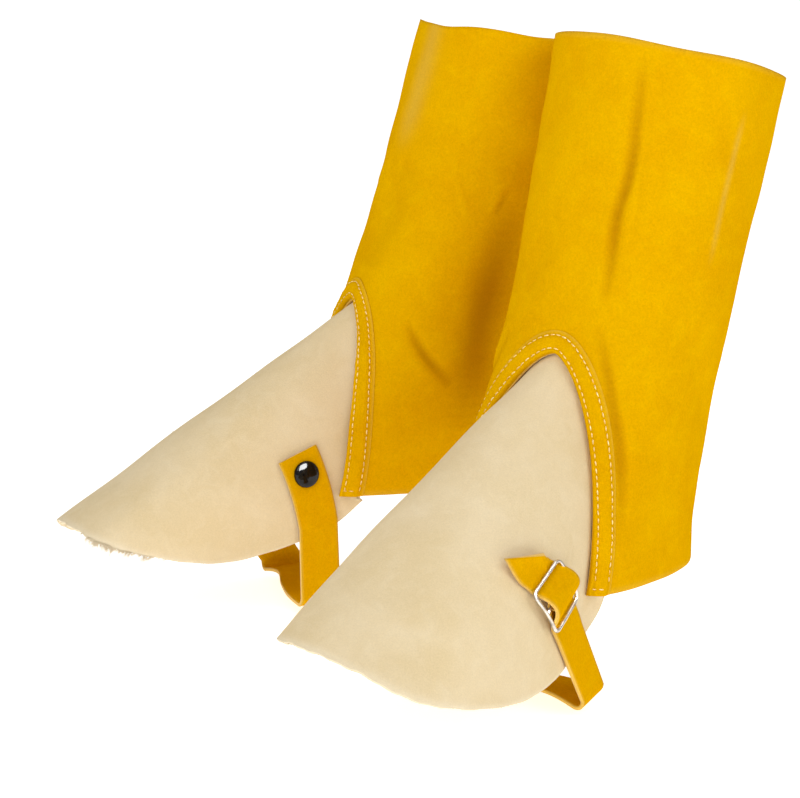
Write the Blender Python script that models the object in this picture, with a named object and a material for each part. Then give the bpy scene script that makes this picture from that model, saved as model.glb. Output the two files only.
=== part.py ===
"""A pair of leather spats for work boots, standing as worn: Blender 4.5, metres, +Z up.

Each spat is drawn in its own foot frame: the sole stands on z = 0, the toe points to -Y, the outer side of the
foot is +X, and the ankle is above x = y = 0. An empty for each foot then places it, toes turned out.
"""

import math

import bmesh
import bpy
import numpy as np

# Where the two feet stand
FOOT_SPREAD = 0.0814
FOOT_STAGGER = 0.0038
TOE_OUT = math.radians(14.9)

# Leather and hardware
LEG_WALL = 0.0018
VAMP_WALL = 0.0018
BAND_WALL = 0.0024
STRAP_WALL = 0.0020
CHAPE_WALL = 0.0010
SEAM_GAP = 0.0003
LAP_GAP = 0.0005
STRAP_GAP = 0.0010
WIRE_RADIUS = 0.0010

# The leg tube: rings at shares of the height from hem to rim. "centre" is how far the ring's middle lies behind
# the ankle, "tilt" (radians) how far its front is raised, "side" how fast it falls towards the outer side,
# and "square" the exponent of its front half.
LEG_RINGS = {
    "share": (0.00, 0.14, 0.32, 0.52, 0.76, 1.00),
    "height": (0.0550, 0.0900, 0.1360, 0.1872, 0.2490, 0.3115),
    "centre": (-0.0060, -0.0035, 0.0065, 0.0210, 0.0370, 0.0530),
    "depth": (0.0680, 0.0610, 0.0550, 0.0535, 0.0530, 0.0530),
    "width": (0.0500, 0.0510, 0.0525, 0.0560, 0.0600, 0.0635),
    "tilt": (0.000, 0.060, 0.130, 0.180, 0.210, 0.215),
    "side": (0.115, 0.110, 0.100, 0.085, 0.070, 0.060),
    "square": (4.50, 3.80, 2.80, 2.30, 2.10, 2.10),
}
BACK_SQUARE = 2.15

# The V opening at the front of the leg
VEE_HEIGHT = 0.1640
VEE_INNER_ANGLE = 0.80
VEE_OUTER_ANGLE = 0.76
VEE_BLUNTNESS = 0.64
VEE_SPACING = 1.35
BAND_WIDTH = 0.012
TUCK_WIDTH = 0.011
TUCK_DEPTH = LEG_WALL + 0.0011
TUCK_SHARE = 0.06

# The vamp's lower edge, from the inner corner of the V (-1) round the toe to the outer corner (1)
VAMP_EDGE = {
    "along": (-1.00, -0.88, -0.74, -0.60, -0.45, -0.30, -0.15, 0.00,
              0.15, 0.30, 0.45, 0.60, 0.74, 0.88, 1.00),
    "x": (-0.0410, -0.0420, -0.0475, -0.0520, -0.0510, -0.0400, -0.0220, -0.0020,
          0.0210, 0.0400, 0.0510, 0.0560, 0.0508, 0.0396, 0.0372),
    "y": (-0.0545, -0.0700, -0.1020, -0.1400, -0.1780, -0.2030, -0.2120, -0.2140,
          -0.2120, -0.2020, -0.1770, -0.1400, -0.1010, -0.0680, -0.0530),
    "z": (0.0560, 0.0430, 0.0340, 0.0310, 0.0380, 0.0440, 0.0455, 0.0450,
          0.0400, 0.0310, 0.0220, 0.0165, 0.0180, 0.0310, 0.0466),
}
VAMP_BULGE = 0.018
VAMP_REACH = {1: 1.02, -1: 0.98}

# The strap: a point and a direction on each wall of the vamp, then down and under the sole. "top" and "foot"
# are distances along the strap from that point to its end and to where it leaves the vamp.
STRAP_WIDTH = 0.0240
OUTER_WALL = {"y": -0.1053, "z": 0.0593, "rise": (-0.48, 0.877), "top": 0.0270, "foot": -0.032, "bend": -6.2}
INNER_WALL = {"y": -0.0847, "z": 0.0743, "rise": (-0.33, 0.944), "top": 0.0120, "foot": -0.030, "bend": 4.0}
TAIL_BEND = -18.0
SOLE_HALF = 0.0460
SOLE_FLAT_HALF = 0.015
SOLE_EDGE_HEIGHT = {1: -0.0040, -1: 0.0018}
SOLE_EDGE_TILT = 0.14
SOLE_FLARE = 0.18
SOLE_RADIUS = 0.004
UNDER_SOLE = {
    "x": (-0.0480, -0.0240, 0.0000, 0.0240, 0.0480),
    "y": (-0.0745, -0.0735, -0.0690, -0.0625, -0.0640),
}
TAIL_LIFT = 0.0045

# The wire buckle lies over the strap; its middle bar passes under a hump of the strap
BUCKLE_LENGTH = 0.0235
BUCKLE_WIDTH = 0.0268
BUCKLE_CORNER = 0.003
BAR_HEIGHT = 0.0048
MIDDLE_BAR_HEIGHT = 0.0055
HUMP = 0.0074
CHAPE_WIDTH = 0.017
CHAPE_TAIL = 0.009

# The snap
SNAP_RADIUS = 0.0075
SNAP_HEIGHT = 0.0036
SNAP_BACK_RADIUS = 0.006
SNAP_BACK_WALL = 0.001

# How finely the leather is divided
LEG_COLUMNS = 34
LEG_ROWS_BELOW = 10
LEG_ROWS_ABOVE = 8
VAMP_COLUMNS = 26
VAMP_ROWS = 9
BAND_COLUMNS = 28


def smooth(table, name, key, at):
    """Column `name` of a table against column `key`, read on a smooth curve through its rows."""
    x = np.asarray(table[key], float)
    y = np.asarray(table[name], float)
    slope = np.gradient(y, x)
    row = np.clip(np.searchsorted(x, at, side="right") - 1, 0, len(x) - 2)
    gap = x[row + 1] - x[row]
    u = (at - x[row]) / gap
    return (
        (2 * u**3 - 3 * u**2 + 1) * y[row]
        + (u**3 - 2 * u**2 + u) * gap * slope[row]
        + (3 * u**2 - 2 * u**3) * y[row + 1]
        + (u**3 - u**2) * gap * slope[row + 1]
    )


def unit(vectors):
    """The vectors at length 1."""
    return vectors / np.linalg.norm(vectors, axis=-1, keepdims=True)


def leg_point(angle, share):
    """Outer surface of the leg: angle from the front (0) towards the outer side, share of the height."""
    angle, share = np.broadcast_arrays(np.asarray(angle, float), np.asarray(share, float))
    ring = {name: smooth(LEG_RINGS, name, "share", share) for name in LEG_RINGS if name != "share"}
    power = np.where(np.cos(angle) > 0, ring["square"], BACK_SQUARE)
    reach = (np.abs(np.cos(angle)) ** power + np.abs(np.sin(angle)) ** power) ** (-1 / power)
    forward = np.cos(angle) * reach * ring["depth"]
    x = np.sin(angle) * reach * ring["width"]
    y = ring["centre"] - forward * np.cos(ring["tilt"])
    z = ring["height"] + forward * np.sin(ring["tilt"]) - ring["side"] * x
    return np.stack([x, y, z], -1)


def slopes(surface, first, second, step=1e-4):
    """How a surface's points move with each of its two parameters."""
    along_first = (surface(first + step, second) - surface(first - step, second)) / (2 * step)
    along_second = (surface(first, second + step) - surface(first, second - step)) / (2 * step)
    return along_first, along_second


def leg_normal(angle, share):
    """Outward normal of the leg."""
    return unit(np.cross(*slopes(leg_point, angle, share)))


def share_of_apex():
    """The share of the height at which the front of the leg is VEE_HEIGHT high."""
    low, high = 0.0, 1.0
    for _ in range(40):
        middle = (low + high) / 2
        if leg_point(0.0, middle)[2] < VEE_HEIGHT:
            low = middle
        else:
            high = middle
    return low


APEX_SHARE = share_of_apex()


def vee(along):
    """(angle, share) on the leg of the V's edge: -1 at the inner corner, 0 at the apex, 1 at the outer corner."""
    fall = np.abs(along) ** VEE_SPACING
    widest = np.where(along > 0, VEE_OUTER_ANGLE, -VEE_INNER_ANGLE)
    return widest * (1 - (1 - fall) ** 2) ** VEE_BLUNTNESS, APEX_SHARE * (1 - fall)


def beside_vee(along, width):
    """(angle, share) on the leg at a distance `width` behind the V's edge, square to it."""
    step = 1e-3
    along = np.clip(along, -1, 1)
    angle, share = vee(along)
    next_angle, next_share = vee(np.clip(along + step, -1, 1))
    last_angle, last_share = vee(np.clip(along - step, -1, 1))
    by_angle, by_share = slopes(leg_point, angle, share)
    run = by_angle * (next_angle - last_angle)[..., None] + by_share * (next_share - last_share)[..., None]
    away = unit(np.cross(np.cross(by_angle, by_share), run))
    aa, ss, cross = (by_angle**2).sum(-1), (by_share**2).sum(-1), (by_angle * by_share).sum(-1)
    on_angle, on_share = (away * by_angle).sum(-1), (away * by_share).sum(-1)
    scale = width / (aa * ss - cross**2)
    return angle + scale * (on_angle * ss - on_share * cross), share + scale * (on_share * aa - on_angle * cross)


def under_leg(along, width):
    """A point of the vamp's tuck: `width` behind the V's edge and TUCK_DEPTH inside the leg."""
    angle, share = beside_vee(along, width)
    return leg_point(angle, share) - TUCK_DEPTH * leg_normal(angle, share)


def vamp_surface(side):
    """The vamp's outer surface for one foot, as a function of `along` (-1 to 1) and `down` (0 tuck to 1 edge)."""

    def surface(along, down):
        along, down = np.broadcast_arrays(np.asarray(along, float), np.asarray(down, float))
        edge = np.stack([smooth(VAMP_EDGE, name, "along", along) for name in ("x", "y", "z")], -1)
        edge = edge * np.array([1, VAMP_REACH[side], 1])
        top = under_leg(along, 0 * along)
        below = np.maximum(down - TUCK_SHARE, 0)[..., None] / (1 - TUCK_SHARE)
        tuck = TUCK_WIDTH * np.clip(1 - down / TUCK_SHARE, 0, 1)
        crown = np.abs(along) * (1 - np.abs(along)) ** 2
        bulge = VAMP_BULGE * crown * np.sin(math.pi * np.minimum(below[..., 0], 1))
        outward = np.stack([0.7 * np.sign(along), 0 * along, 0.7 + 0 * along], -1)
        shown = top + (edge - top) * below + bulge[..., None] * outward
        return np.where((down < TUCK_SHARE)[..., None], under_leg(along, tuck), shown)

    return surface


class Wall:
    """A flat map of one side of the vamp: u up the strap and w across it, in metres, from a point on the wall."""

    def __init__(self, surface, place, side_of_foot):
        self.surface = surface
        self.start = np.array([0.65 * side_of_foot, 0.5])
        rise = np.array([0.0, *place["rise"]])
        self.centre = np.array([0.0, place["y"], place["z"]])
        self.centre = self.drop(self.centre[None], np.array([0, 1.0, 0]), np.array([0, 0, 1.0]))[0][0]
        normal = self.drop(self.centre[None], np.array([0, 1.0, 0]), np.array([0, 0, 1.0]))[1][0]
        self.up = unit(rise - normal * (rise @ normal))
        self.across = unit(np.cross(normal, self.up)) * side_of_foot

    def drop(self, points, first_axis, second_axis):
        """The surface points that share their places along two axes with `points`, and the normals there."""
        found = np.broadcast_to(self.start, (*points.shape[:-1], 2)).copy()
        for _ in range(15):
            along, down = found[..., 0], found[..., 1]
            miss = self.surface(along, down) - points
            by_along, by_down = slopes(self.surface, along, down)
            a, b = by_along @ first_axis, by_down @ first_axis
            c, d = by_along @ second_axis, by_down @ second_axis
            e, f = miss @ first_axis, miss @ second_axis
            turn = a * d - b * c
            move = np.stack([(d * e - b * f) / turn, (a * f - c * e) / turn], -1)
            found = np.clip(found - np.clip(move, -0.15, 0.15), (-0.99, TUCK_SHARE), (0.99, 1.3))
        along, down = found[..., 0], found[..., 1]
        normal = unit(np.cross(*slopes(self.surface, along, down)))
        outward = np.sign(normal[..., :1] * np.sign(self.start[0]))
        return self.surface(along, down), normal * outward

    def at(self, u, w, height):
        """Points at (u, w) on the wall, raised off it by `height`."""
        u, w, height = np.broadcast_arrays(u, w, height)
        points = self.centre + u[..., None] * self.up + w[..., None] * self.across
        on_wall, normal = self.drop(points, self.up, self.across)
        return on_wall + height[..., None] * normal


def strap_height(u):
    """How high the strap's inner face runs over the outer wall: a hump over the middle bar and a lifted tail."""
    half = BUCKLE_LENGTH / 2
    hump = np.where(np.abs(u) < half, HUMP * (1 + np.cos(math.pi * u / half)) / 2, 0.0)
    past = np.maximum(u - half, 0) / (OUTER_WALL["top"] - half)
    return STRAP_GAP + hump + TAIL_LIFT * past**2


def strap_on_wall(wall, place, u, across, height):
    """Rows of the strap on a wall: its line bends sideways a little, and each row stays square to it."""
    past = np.maximum(u - BUCKLE_LENGTH / 2, 0)
    turn = place["bend"] * u + TAIL_BEND * past
    aside = place["bend"] * u**2 / 2 + TAIL_BEND * past**2 / 2
    return wall.at(
        (u[:, None] - across * np.sin(turn)[:, None]),
        (aside[:, None] + across * np.cos(turn)[:, None]),
        height[:, None] + 0 * across,
    )


def sole_rows(x, z, across):
    """Rows of the strap under the sole: flat in the middle, then following the sole's edges, which turn in and
    rise to the heel."""
    x, z = x[:, None], z[:, None]
    lean = np.clip((np.abs(x) - SOLE_FLAT_HALF) / (SOLE_HALF - SOLE_FLAT_HALF), 0, 1) ** 2
    edge = np.where(x > 0, SOLE_EDGE_HEIGHT[1], SOLE_EDGE_HEIGHT[-1])
    rows_x = x + np.sign(x) * lean * SOLE_FLARE * across
    rows_y = smooth(UNDER_SOLE, "y", "x", x) - across
    rows_z = z + lean * (edge - SOLE_EDGE_TILT * across)
    return np.stack(np.broadcast_arrays(rows_x, rows_y, rows_z), -1)


def strap_rows(outer, inner):
    """The strap's inner face, as rows of points from the snap, under the sole, to the tail."""
    across = np.linspace(-STRAP_WIDTH / 2, STRAP_WIDTH / 2, 5)
    inner_u = np.linspace(INNER_WALL["top"], INNER_WALL["foot"], 9)
    inner_rows = strap_on_wall(inner, INNER_WALL, inner_u, across, STRAP_GAP + 0 * inner_u)
    outer_u = np.concatenate([
        np.linspace(OUTER_WALL["foot"], -BUCKLE_LENGTH / 2, 5)[:-1],
        np.linspace(-BUCKLE_LENGTH / 2, BUCKLE_LENGTH / 2, 13),
        np.linspace(BUCKLE_LENGTH / 2, OUTER_WALL["top"], 6)[1:],
    ])
    outer_rows = strap_on_wall(outer, OUTER_WALL, outer_u, across, strap_height(outer_u))
    angle = np.linspace(0, math.pi / 2, 5)
    corner_x = SOLE_HALF - SOLE_RADIUS * (1 - np.cos(angle))
    corner_z = SOLE_RADIUS * (1 - np.sin(angle))
    flat_x = np.linspace(-SOLE_HALF + SOLE_RADIUS, SOLE_HALF - SOLE_RADIUS, 9)[1:-1]
    x = np.concatenate([-corner_x, flat_x, corner_x[::-1]])
    z = np.concatenate([corner_z, 0 * flat_x, corner_z[::-1]])
    under = sole_rows(x, z, across)
    share = np.array([0.25, 0.5, 0.75])[:, None, None]
    down = inner_rows[-1] + (under[0] - inner_rows[-1]) * share
    rise = under[-1] + (outer_rows[0] - under[-1]) * share
    return np.concatenate([inner_rows, down, under, rise, outer_rows])


def buckle_loop(wall):
    """The buckle's rim, as points evenly spaced round a rounded rectangle; its sides arch to the middle bar."""
    half_u, half_w = BUCKLE_LENGTH / 2, BUCKLE_WIDTH / 2
    angle = np.linspace(0, math.pi / 2, 5)
    corners = [
        (su * (half_u - BUCKLE_CORNER) + BUCKLE_CORNER * np.cos(angle + start),
         sw * (half_w - BUCKLE_CORNER) + BUCKLE_CORNER * np.sin(angle + start))
        for su, sw, start in ((1, 1, 0), (-1, 1, math.pi / 2), (-1, -1, math.pi), (1, -1, 1.5 * math.pi))
    ]
    u = np.concatenate([corner[0] for corner in corners])
    w = np.concatenate([corner[1] for corner in corners])
    u, w = np.append(u, u[0]), np.append(w, w[0])
    length = np.append(0, np.cumsum(np.hypot(np.diff(u), np.diff(w))))
    even = np.linspace(0, length[-1], 37)[:-1]
    u, w = np.interp(even, length, u), np.interp(even, length, w)
    arch = np.cos(math.pi * u / (2 * half_u)) ** 2
    return wall.at(u, w, BAR_HEIGHT + (MIDDLE_BAR_HEIGHT - BAR_HEIGHT) * arch)


def chape_rows(wall):
    """The chape's inner face as rows across it: from its sewn tail, up under the middle bar and over it."""
    ring = WIRE_RADIUS + SEAM_GAP
    sewn = CHAPE_WALL + LAP_GAP
    angle = np.radians(np.linspace(-70, 200, 13))
    climb = np.linspace(0, 1, 6)
    rise = sewn + (MIDDLE_BAR_HEIGHT - ring - sewn) * climb**2 * (3 - 2 * climb)
    u = np.concatenate([-CHAPE_TAIL * (1 - climb[:-1]), ring * np.cos(angle)])
    height = np.concatenate([rise[:-1], MIDDLE_BAR_HEIGHT + ring * np.sin(angle)])
    across = np.linspace(-CHAPE_WIDTH / 2, CHAPE_WIDTH / 2, 5)
    return wall.at(u[:, None] + 0 * across, across + 0 * u[:, None], height[:, None] + 0 * across)


def faces_of_grid(rows, columns, index=None):
    """Quads between the rows and columns of a grid of points."""
    index = np.arange(rows * columns).reshape(rows, columns) if index is None else index
    return np.stack([index[:-1, :-1], index[:-1, 1:], index[1:, 1:], index[1:, :-1]], -1).reshape(-1, 4)


def leather(name, colour, roughness):
    """A Principled material."""
    material = bpy.data.materials.new(name)
    material.use_nodes = True
    shader = material.node_tree.nodes["Principled BSDF"]
    shader.inputs["Base Color"].default_value = (*colour, 1)
    shader.inputs["Roughness"].default_value = roughness
    return material


def metal(name, colour, roughness, metallic=1.0):
    """A Principled metal or enamelled metal."""
    material = leather(name, colour, roughness)
    material.node_tree.nodes["Principled BSDF"].inputs["Metallic"].default_value = metallic
    return material


def add_object(foot, name, points, faces, material):
    """An object under the foot's empty, with shared points merged and its faces turned out for its side."""
    side, empty = foot["side"], foot["empty"]
    mesh = bpy.data.meshes.new(name)
    mesh.from_pydata((points * np.array([side, 1, 1])).tolist(), [], faces[:, ::side].tolist())
    shape = bmesh.new()
    shape.from_mesh(mesh)
    bmesh.ops.remove_doubles(shape, verts=shape.verts, dist=1e-6)
    bmesh.ops.dissolve_degenerate(shape, edges=shape.edges, dist=1e-7)
    shape.to_mesh(mesh)
    shape.free()
    mesh.shade_smooth()
    mesh.set_sharp_from_angle(angle=math.radians(40))
    mesh.materials.append(material)
    piece = bpy.data.objects.new(f"{foot['name']}_{name}", mesh)
    piece.parent = empty
    bpy.context.collection.objects.link(piece)
    return piece


def thicken(piece, thickness, outward, even=True):
    """Gives a sheet its wall, inwards or outwards from its points; `even` keeps it full at the bends."""
    wall = piece.modifiers.new("wall", "SOLIDIFY")
    wall.thickness = thickness
    wall.offset = 1 if outward else -1
    wall.use_even_offset = even
    wall.use_rim = True


def add_leg(foot, material):
    """The leg tube: its rows follow the V's edge below the apex and close into rings above it."""
    below = np.linspace(1, 0, LEG_ROWS_BELOW + 1)
    start, shares = vee(below)
    end = 2 * math.pi + vee(-below)[0]
    shares = np.concatenate([shares, np.linspace(APEX_SHARE, 1, LEG_ROWS_ABOVE + 1)[1:]])
    start = np.concatenate([start, np.zeros(LEG_ROWS_ABOVE)])[:, None]
    end = np.concatenate([end, np.full(LEG_ROWS_ABOVE, 2 * math.pi)])[:, None]
    angle = start + (end - start) * np.linspace(0, 1, LEG_COLUMNS + 1)
    points = leg_point(angle, shares[:, None])
    faces = faces_of_grid(*angle.shape)
    piece = add_object(foot, "leg", points.reshape(-1, 3), faces, material)
    thicken(piece, LEG_WALL, outward=False)


def add_vamp(foot, material):
    """The vamp, from its tuck under the V to its lower edge."""
    along = np.linspace(-1, 1, VAMP_COLUMNS + 1)
    down = np.concatenate([[0], TUCK_SHARE + (1 - TUCK_SHARE) * np.linspace(0, 1, VAMP_ROWS)])
    points = foot["vamp"](along, down[:, None])
    piece = add_object(foot, "vamp", points.reshape(-1, 3), faces_of_grid(*points.shape[:2])[:, ::-1], material)
    thicken(piece, VAMP_WALL, outward=False, even=False)


def add_band(foot, material):
    """The band along the V's edge: the leg's points, moved out."""
    along = np.linspace(-1, 1, BAND_COLUMNS + 1)
    rows = []
    for width in np.linspace(0, BAND_WIDTH, 4):
        angle, share = beside_vee(along, width)
        rows.append(leg_point(angle, share) + LAP_GAP * leg_normal(angle, share))
    points = np.stack(rows)
    piece = add_object(foot, "vee_band", points.reshape(-1, 3), faces_of_grid(*points.shape[:2]), material)
    thicken(piece, BAND_WALL, outward=True)


def add_strap(foot, material):
    """The strap under the sole."""
    points = strap_rows(foot["outer"], foot["inner"])
    piece = add_object(foot, "strap", points.reshape(-1, 3), faces_of_grid(*points.shape[:2])[:, ::-1], material)
    thicken(piece, STRAP_WALL, outward=True)


def tube(path, radius, sides, closed):
    """(points, faces) of a round wire along a path, with its ends capped if it is open."""
    ahead = np.roll(path, -1, 0) - np.roll(path, 1, 0) if closed else np.gradient(path, axis=0)
    along = unit(ahead)
    middle = path.mean(0)
    level = unit(np.cross(path[0] - middle, path[len(path) // 4] - middle)) if closed else unit(
        np.cross(along[0], np.array([0, 1.0, 1.0])))
    first = unit(np.cross(along, level))
    second = np.cross(first, along)
    angle = np.linspace(0, 2 * math.pi, sides, endpoint=False)[:, None]
    rings = path[:, None] + radius * (first[:, None] * np.cos(angle) + second[:, None] * np.sin(angle))
    count = len(path)
    index = np.arange(count * sides).reshape(count, sides)
    index = np.concatenate([index, index[:, :1]], 1)
    if closed:
        index = np.concatenate([index, index[:1]], 0)
    faces = faces_of_grid(*index.shape, index=index).tolist()
    if not closed:
        faces += [index[0, :sides][::-1].tolist(), index[-1, :sides].tolist()]
    return rings.reshape(-1, 3), faces


def add_wire(foot, name, path, closed, material):
    """A round wire as an object."""
    points, faces = tube(path, WIRE_RADIUS, 8, closed)
    mesh = bpy.data.meshes.new(name)
    mesh.from_pydata((points * np.array([foot["side"], 1, 1])).tolist(), [], faces)
    shape = bmesh.new()
    shape.from_mesh(mesh)
    bmesh.ops.recalc_face_normals(shape, faces=shape.faces)
    shape.to_mesh(mesh)
    shape.free()
    mesh.shade_smooth()
    mesh.materials.append(material)
    wire = bpy.data.objects.new(f"{foot['name']}_{name}", mesh)
    wire.parent = foot["empty"]
    bpy.context.collection.objects.link(wire)
    return wire


def add_buckle(foot, material):
    """The wire buckle: a bent rim joined with its middle bar."""
    rim = add_wire(foot, "buckle", buckle_loop(foot["outer"]), True, material)
    w = np.linspace(-BUCKLE_WIDTH / 2, BUCKLE_WIDTH / 2, 9)
    bar = add_wire(foot, "middle_bar", foot["outer"].at(0 * w, w, MIDDLE_BAR_HEIGHT), False, material)
    bar.hide_render = True
    bar.display_type = "WIRE"
    joined = rim.modifiers.new("middle bar", "BOOLEAN")
    joined.operation = "UNION"
    joined.solver = "EXACT"
    joined.object = bar


def add_chape(foot, material):
    """The loop of leather that holds the buckle's middle bar to the vamp."""
    points = chape_rows(foot["outer"])
    faces = faces_of_grid(*points.shape[:2])
    piece = add_object(foot, "buckle_chape", points.reshape(-1, 3), faces, material)
    thicken(piece, CHAPE_WALL, outward=True)


def add_turned(foot, name, profile, wall, height, material):
    """A round piece turned from (radius, height) pairs, standing square to a wall over its centre."""
    sides = 24
    radius = np.array([r for r, _ in profile])
    rise = np.array([h for _, h in profile])
    angle = np.linspace(0, 2 * math.pi, sides + 1)[:, None]
    normal = np.cross(wall.up, wall.across)
    normal = normal * np.sign(normal[0] * wall.start[0])
    base = wall.at(0.0, 0.0, height)
    points = (
        base
        + (radius * np.cos(angle))[..., None] * wall.up
        + (radius * np.sin(angle))[..., None] * wall.across
        + (rise + 0 * angle)[..., None] * normal
    )
    piece = add_object(foot, name, points.reshape(-1, 3), faces_of_grid(*points.shape[:2]), material)
    shape = bmesh.new()
    shape.from_mesh(piece.data)
    bmesh.ops.recalc_face_normals(shape, faces=shape.faces)
    shape.to_mesh(piece.data)
    shape.free()


def add_snap(foot, cap_material, back_material):
    """The snap: a domed cap on the strap and a washer inside the vamp."""
    angle = np.linspace(math.pi / 2, 0, 7)
    edge = 0.0012
    dome = [(SNAP_RADIUS * math.cos(a), edge + (SNAP_HEIGHT - edge) * math.sin(a)) for a in angle]
    on_strap = STRAP_GAP + STRAP_WALL + SEAM_GAP
    add_turned(foot, "snap_cap", [*dome, (SNAP_RADIUS, 0.0), (0.0, 0.0)], foot["inner"], on_strap, cap_material)
    inside = -(VAMP_WALL + 0.0008 + SNAP_BACK_WALL)
    washer = [(0.0, SNAP_BACK_WALL), (SNAP_BACK_RADIUS, SNAP_BACK_WALL), (SNAP_BACK_RADIUS, 0.0), (0.0, 0.0)]
    add_turned(foot, "snap_back", washer, foot["inner"], inside, back_material)


def add_foot(name, side):
    """One spat's empty and the surfaces that its pieces are made from."""
    empty = bpy.data.objects.new(f"{name}_foot", None)
    empty.location = (side * FOOT_SPREAD, -side * FOOT_STAGGER, 0)
    empty.rotation_euler = (0, 0, side * TOE_OUT)
    bpy.context.collection.objects.link(empty)
    surface = vamp_surface(side)
    return {
        "name": name,
        "side": side,
        "empty": empty,
        "vamp": surface,
        "outer": Wall(surface, OUTER_WALL, 1),
        "inner": Wall(surface, INNER_WALL, -1),
    }


def main():
    """Builds both spats."""
    for thing in list(bpy.data.objects):
        bpy.data.objects.remove(thing, do_unlink=True)
    for name, side in (("left", 1), ("right", -1)):
        foot = add_foot(name, side)
        yellow = (0.80, 0.42, 0.008)
        add_leg(foot, leather(f"{name}_yellow_leg", yellow, 0.9))
        add_vamp(foot, leather(f"{name}_cream_vamp", (0.81, 0.66, 0.41), 0.92))
        add_band(foot, leather(f"{name}_yellow_band", yellow, 0.88))
        add_strap(foot, leather(f"{name}_yellow_strap", yellow, 0.85))
        add_chape(foot, leather(f"{name}_yellow_chape", yellow, 0.85))
        add_buckle(foot, metal(f"{name}_nickel_wire", (0.62, 0.60, 0.56), 0.3))
        add_snap(
            foot,
            metal(f"{name}_black_enamel", (0.01, 0.01, 0.012), 0.12, 0.0),
            metal(f"{name}_nickel_washer", (0.62, 0.60, 0.56), 0.35),
        )


main()
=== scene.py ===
"""A pair of welder's spats in split leather, standing as worn: every piece's look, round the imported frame.

Each spat is worked out in its own foot frame (metres: the sole stands on z = 0, the toe points to -Y, the
outer side of the foot is +X, and the ankle is above x = y = 0). One step then mirrors, turns and moves it to
its place in the pair, so that every finished object sits at the origin, unturned and unscaled.
"""

from __future__ import annotations

import logging
import math
from dataclasses import dataclass, field
from enum import Enum
from functools import cached_property
from typing import Any, Callable

import bmesh
import bpy
import numpy as np
from mathutils import Matrix, Vector

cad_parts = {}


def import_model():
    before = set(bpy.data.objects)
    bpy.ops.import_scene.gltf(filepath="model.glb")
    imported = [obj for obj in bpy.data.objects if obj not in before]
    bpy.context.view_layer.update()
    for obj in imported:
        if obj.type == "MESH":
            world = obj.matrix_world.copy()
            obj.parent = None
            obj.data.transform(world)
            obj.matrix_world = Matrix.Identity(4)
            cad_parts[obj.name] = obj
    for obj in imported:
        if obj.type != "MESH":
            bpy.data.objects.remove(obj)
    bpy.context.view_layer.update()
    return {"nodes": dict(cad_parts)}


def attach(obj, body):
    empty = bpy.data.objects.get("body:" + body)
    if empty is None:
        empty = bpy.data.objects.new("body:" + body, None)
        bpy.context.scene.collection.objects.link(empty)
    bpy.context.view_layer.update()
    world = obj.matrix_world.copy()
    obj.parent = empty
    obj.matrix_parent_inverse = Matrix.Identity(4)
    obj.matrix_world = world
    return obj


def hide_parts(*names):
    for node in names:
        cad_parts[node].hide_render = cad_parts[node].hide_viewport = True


LOG = logging.getLogger("spats")
Array = np.ndarray
Surface = Callable[[Array, Array], Array]
Faces = list[list[int]]
Socket = bpy.types.NodeSocket
Colour = Socket | str
Material = bpy.types.Material
Piece = bpy.types.Object
BODY = "root"
GROUND = -0.0110  # the boots' treads reach this far below the strap's channel under the sole

# The leg tube: rings at shares of the height from hem to rim. "centre" is how far the ring's middle lies
# behind the ankle, "tilt" (radians) how far its front is raised, "side" how fast it falls towards the outer
# side, and "square" the exponent of its front half.
LEG_RINGS = {
    "share": (0.00, 0.14, 0.32, 0.52, 0.76, 1.00),
    "height": (0.0550, 0.0900, 0.1360, 0.1872, 0.2490, 0.3115),
    "centre": (-0.0060, -0.0035, 0.0065, 0.0210, 0.0370, 0.0530),
    "depth": (0.0680, 0.0610, 0.0550, 0.0535, 0.0530, 0.0530),
    "width": (0.0500, 0.0510, 0.0525, 0.0560, 0.0600, 0.0635),
    "tilt": (0.000, 0.060, 0.130, 0.180, 0.210, 0.215),
    "side": (0.115, 0.110, 0.100, 0.085, 0.070, 0.060),
    "square": (4.50, 3.80, 2.80, 2.30, 2.10, 2.10),
}

# The vamp's lower edge, from the inner corner of the V (-1) round the toe to the outer corner (1)
VAMP_EDGE = {
    "along": (-1.00, -0.88, -0.74, -0.60, -0.45, -0.30, -0.15, 0.00,
              0.15, 0.30, 0.45, 0.60, 0.74, 0.88, 0.95, 1.00),
    "x": (-0.0410, -0.0420, -0.0475, -0.0520, -0.0510, -0.0400, -0.0220, -0.0020,
          0.0210, 0.0400, 0.0510, 0.0560, 0.0508, 0.0404, 0.0400, 0.0402),
    "y": (-0.0490, -0.0670, -0.1020, -0.1400, -0.1780, -0.2030, -0.2120, -0.2140,
          -0.2120, -0.2020, -0.1770, -0.1400, -0.1010, -0.0610, -0.0490, -0.0450),
    "z": (0.0560, 0.0430, 0.0330, 0.0290, 0.0355, 0.0425, 0.0455, 0.0450,
          0.0400, 0.0310, 0.0220, 0.0165, 0.0180, 0.0300, 0.0390, 0.0455),
}

# The strap's middle line under the sole
UNDER_SOLE = {
    "x": (-0.0480, -0.0240, 0.0000, 0.0240, 0.0480),
    "y": (-0.0745, -0.0735, -0.0690, -0.0625, -0.0640),
}


class Side(Enum):
    """The foot that a spat is worn on; the value mirrors x."""

    LEFT = 1
    RIGHT = -1

    @property
    def label(self) -> str:
        """The side's word in the names of pieces."""
        return self.name.lower()


class Slot(Enum):
    """The frame's material slots."""

    LEG = "yellow_suede"
    VAMP = "cream_split"
    BAND = "yellow_band"
    STRAP = "yellow_strap"
    WIRE = "nickel_wire"
    SNAP = "black_snap"


# ---------------------------------------------------------------------------------- shapes


def unit(vectors: Array) -> Array:
    """The vectors at length 1."""
    return vectors / np.linalg.norm(vectors, axis=-1, keepdims=True)


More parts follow.
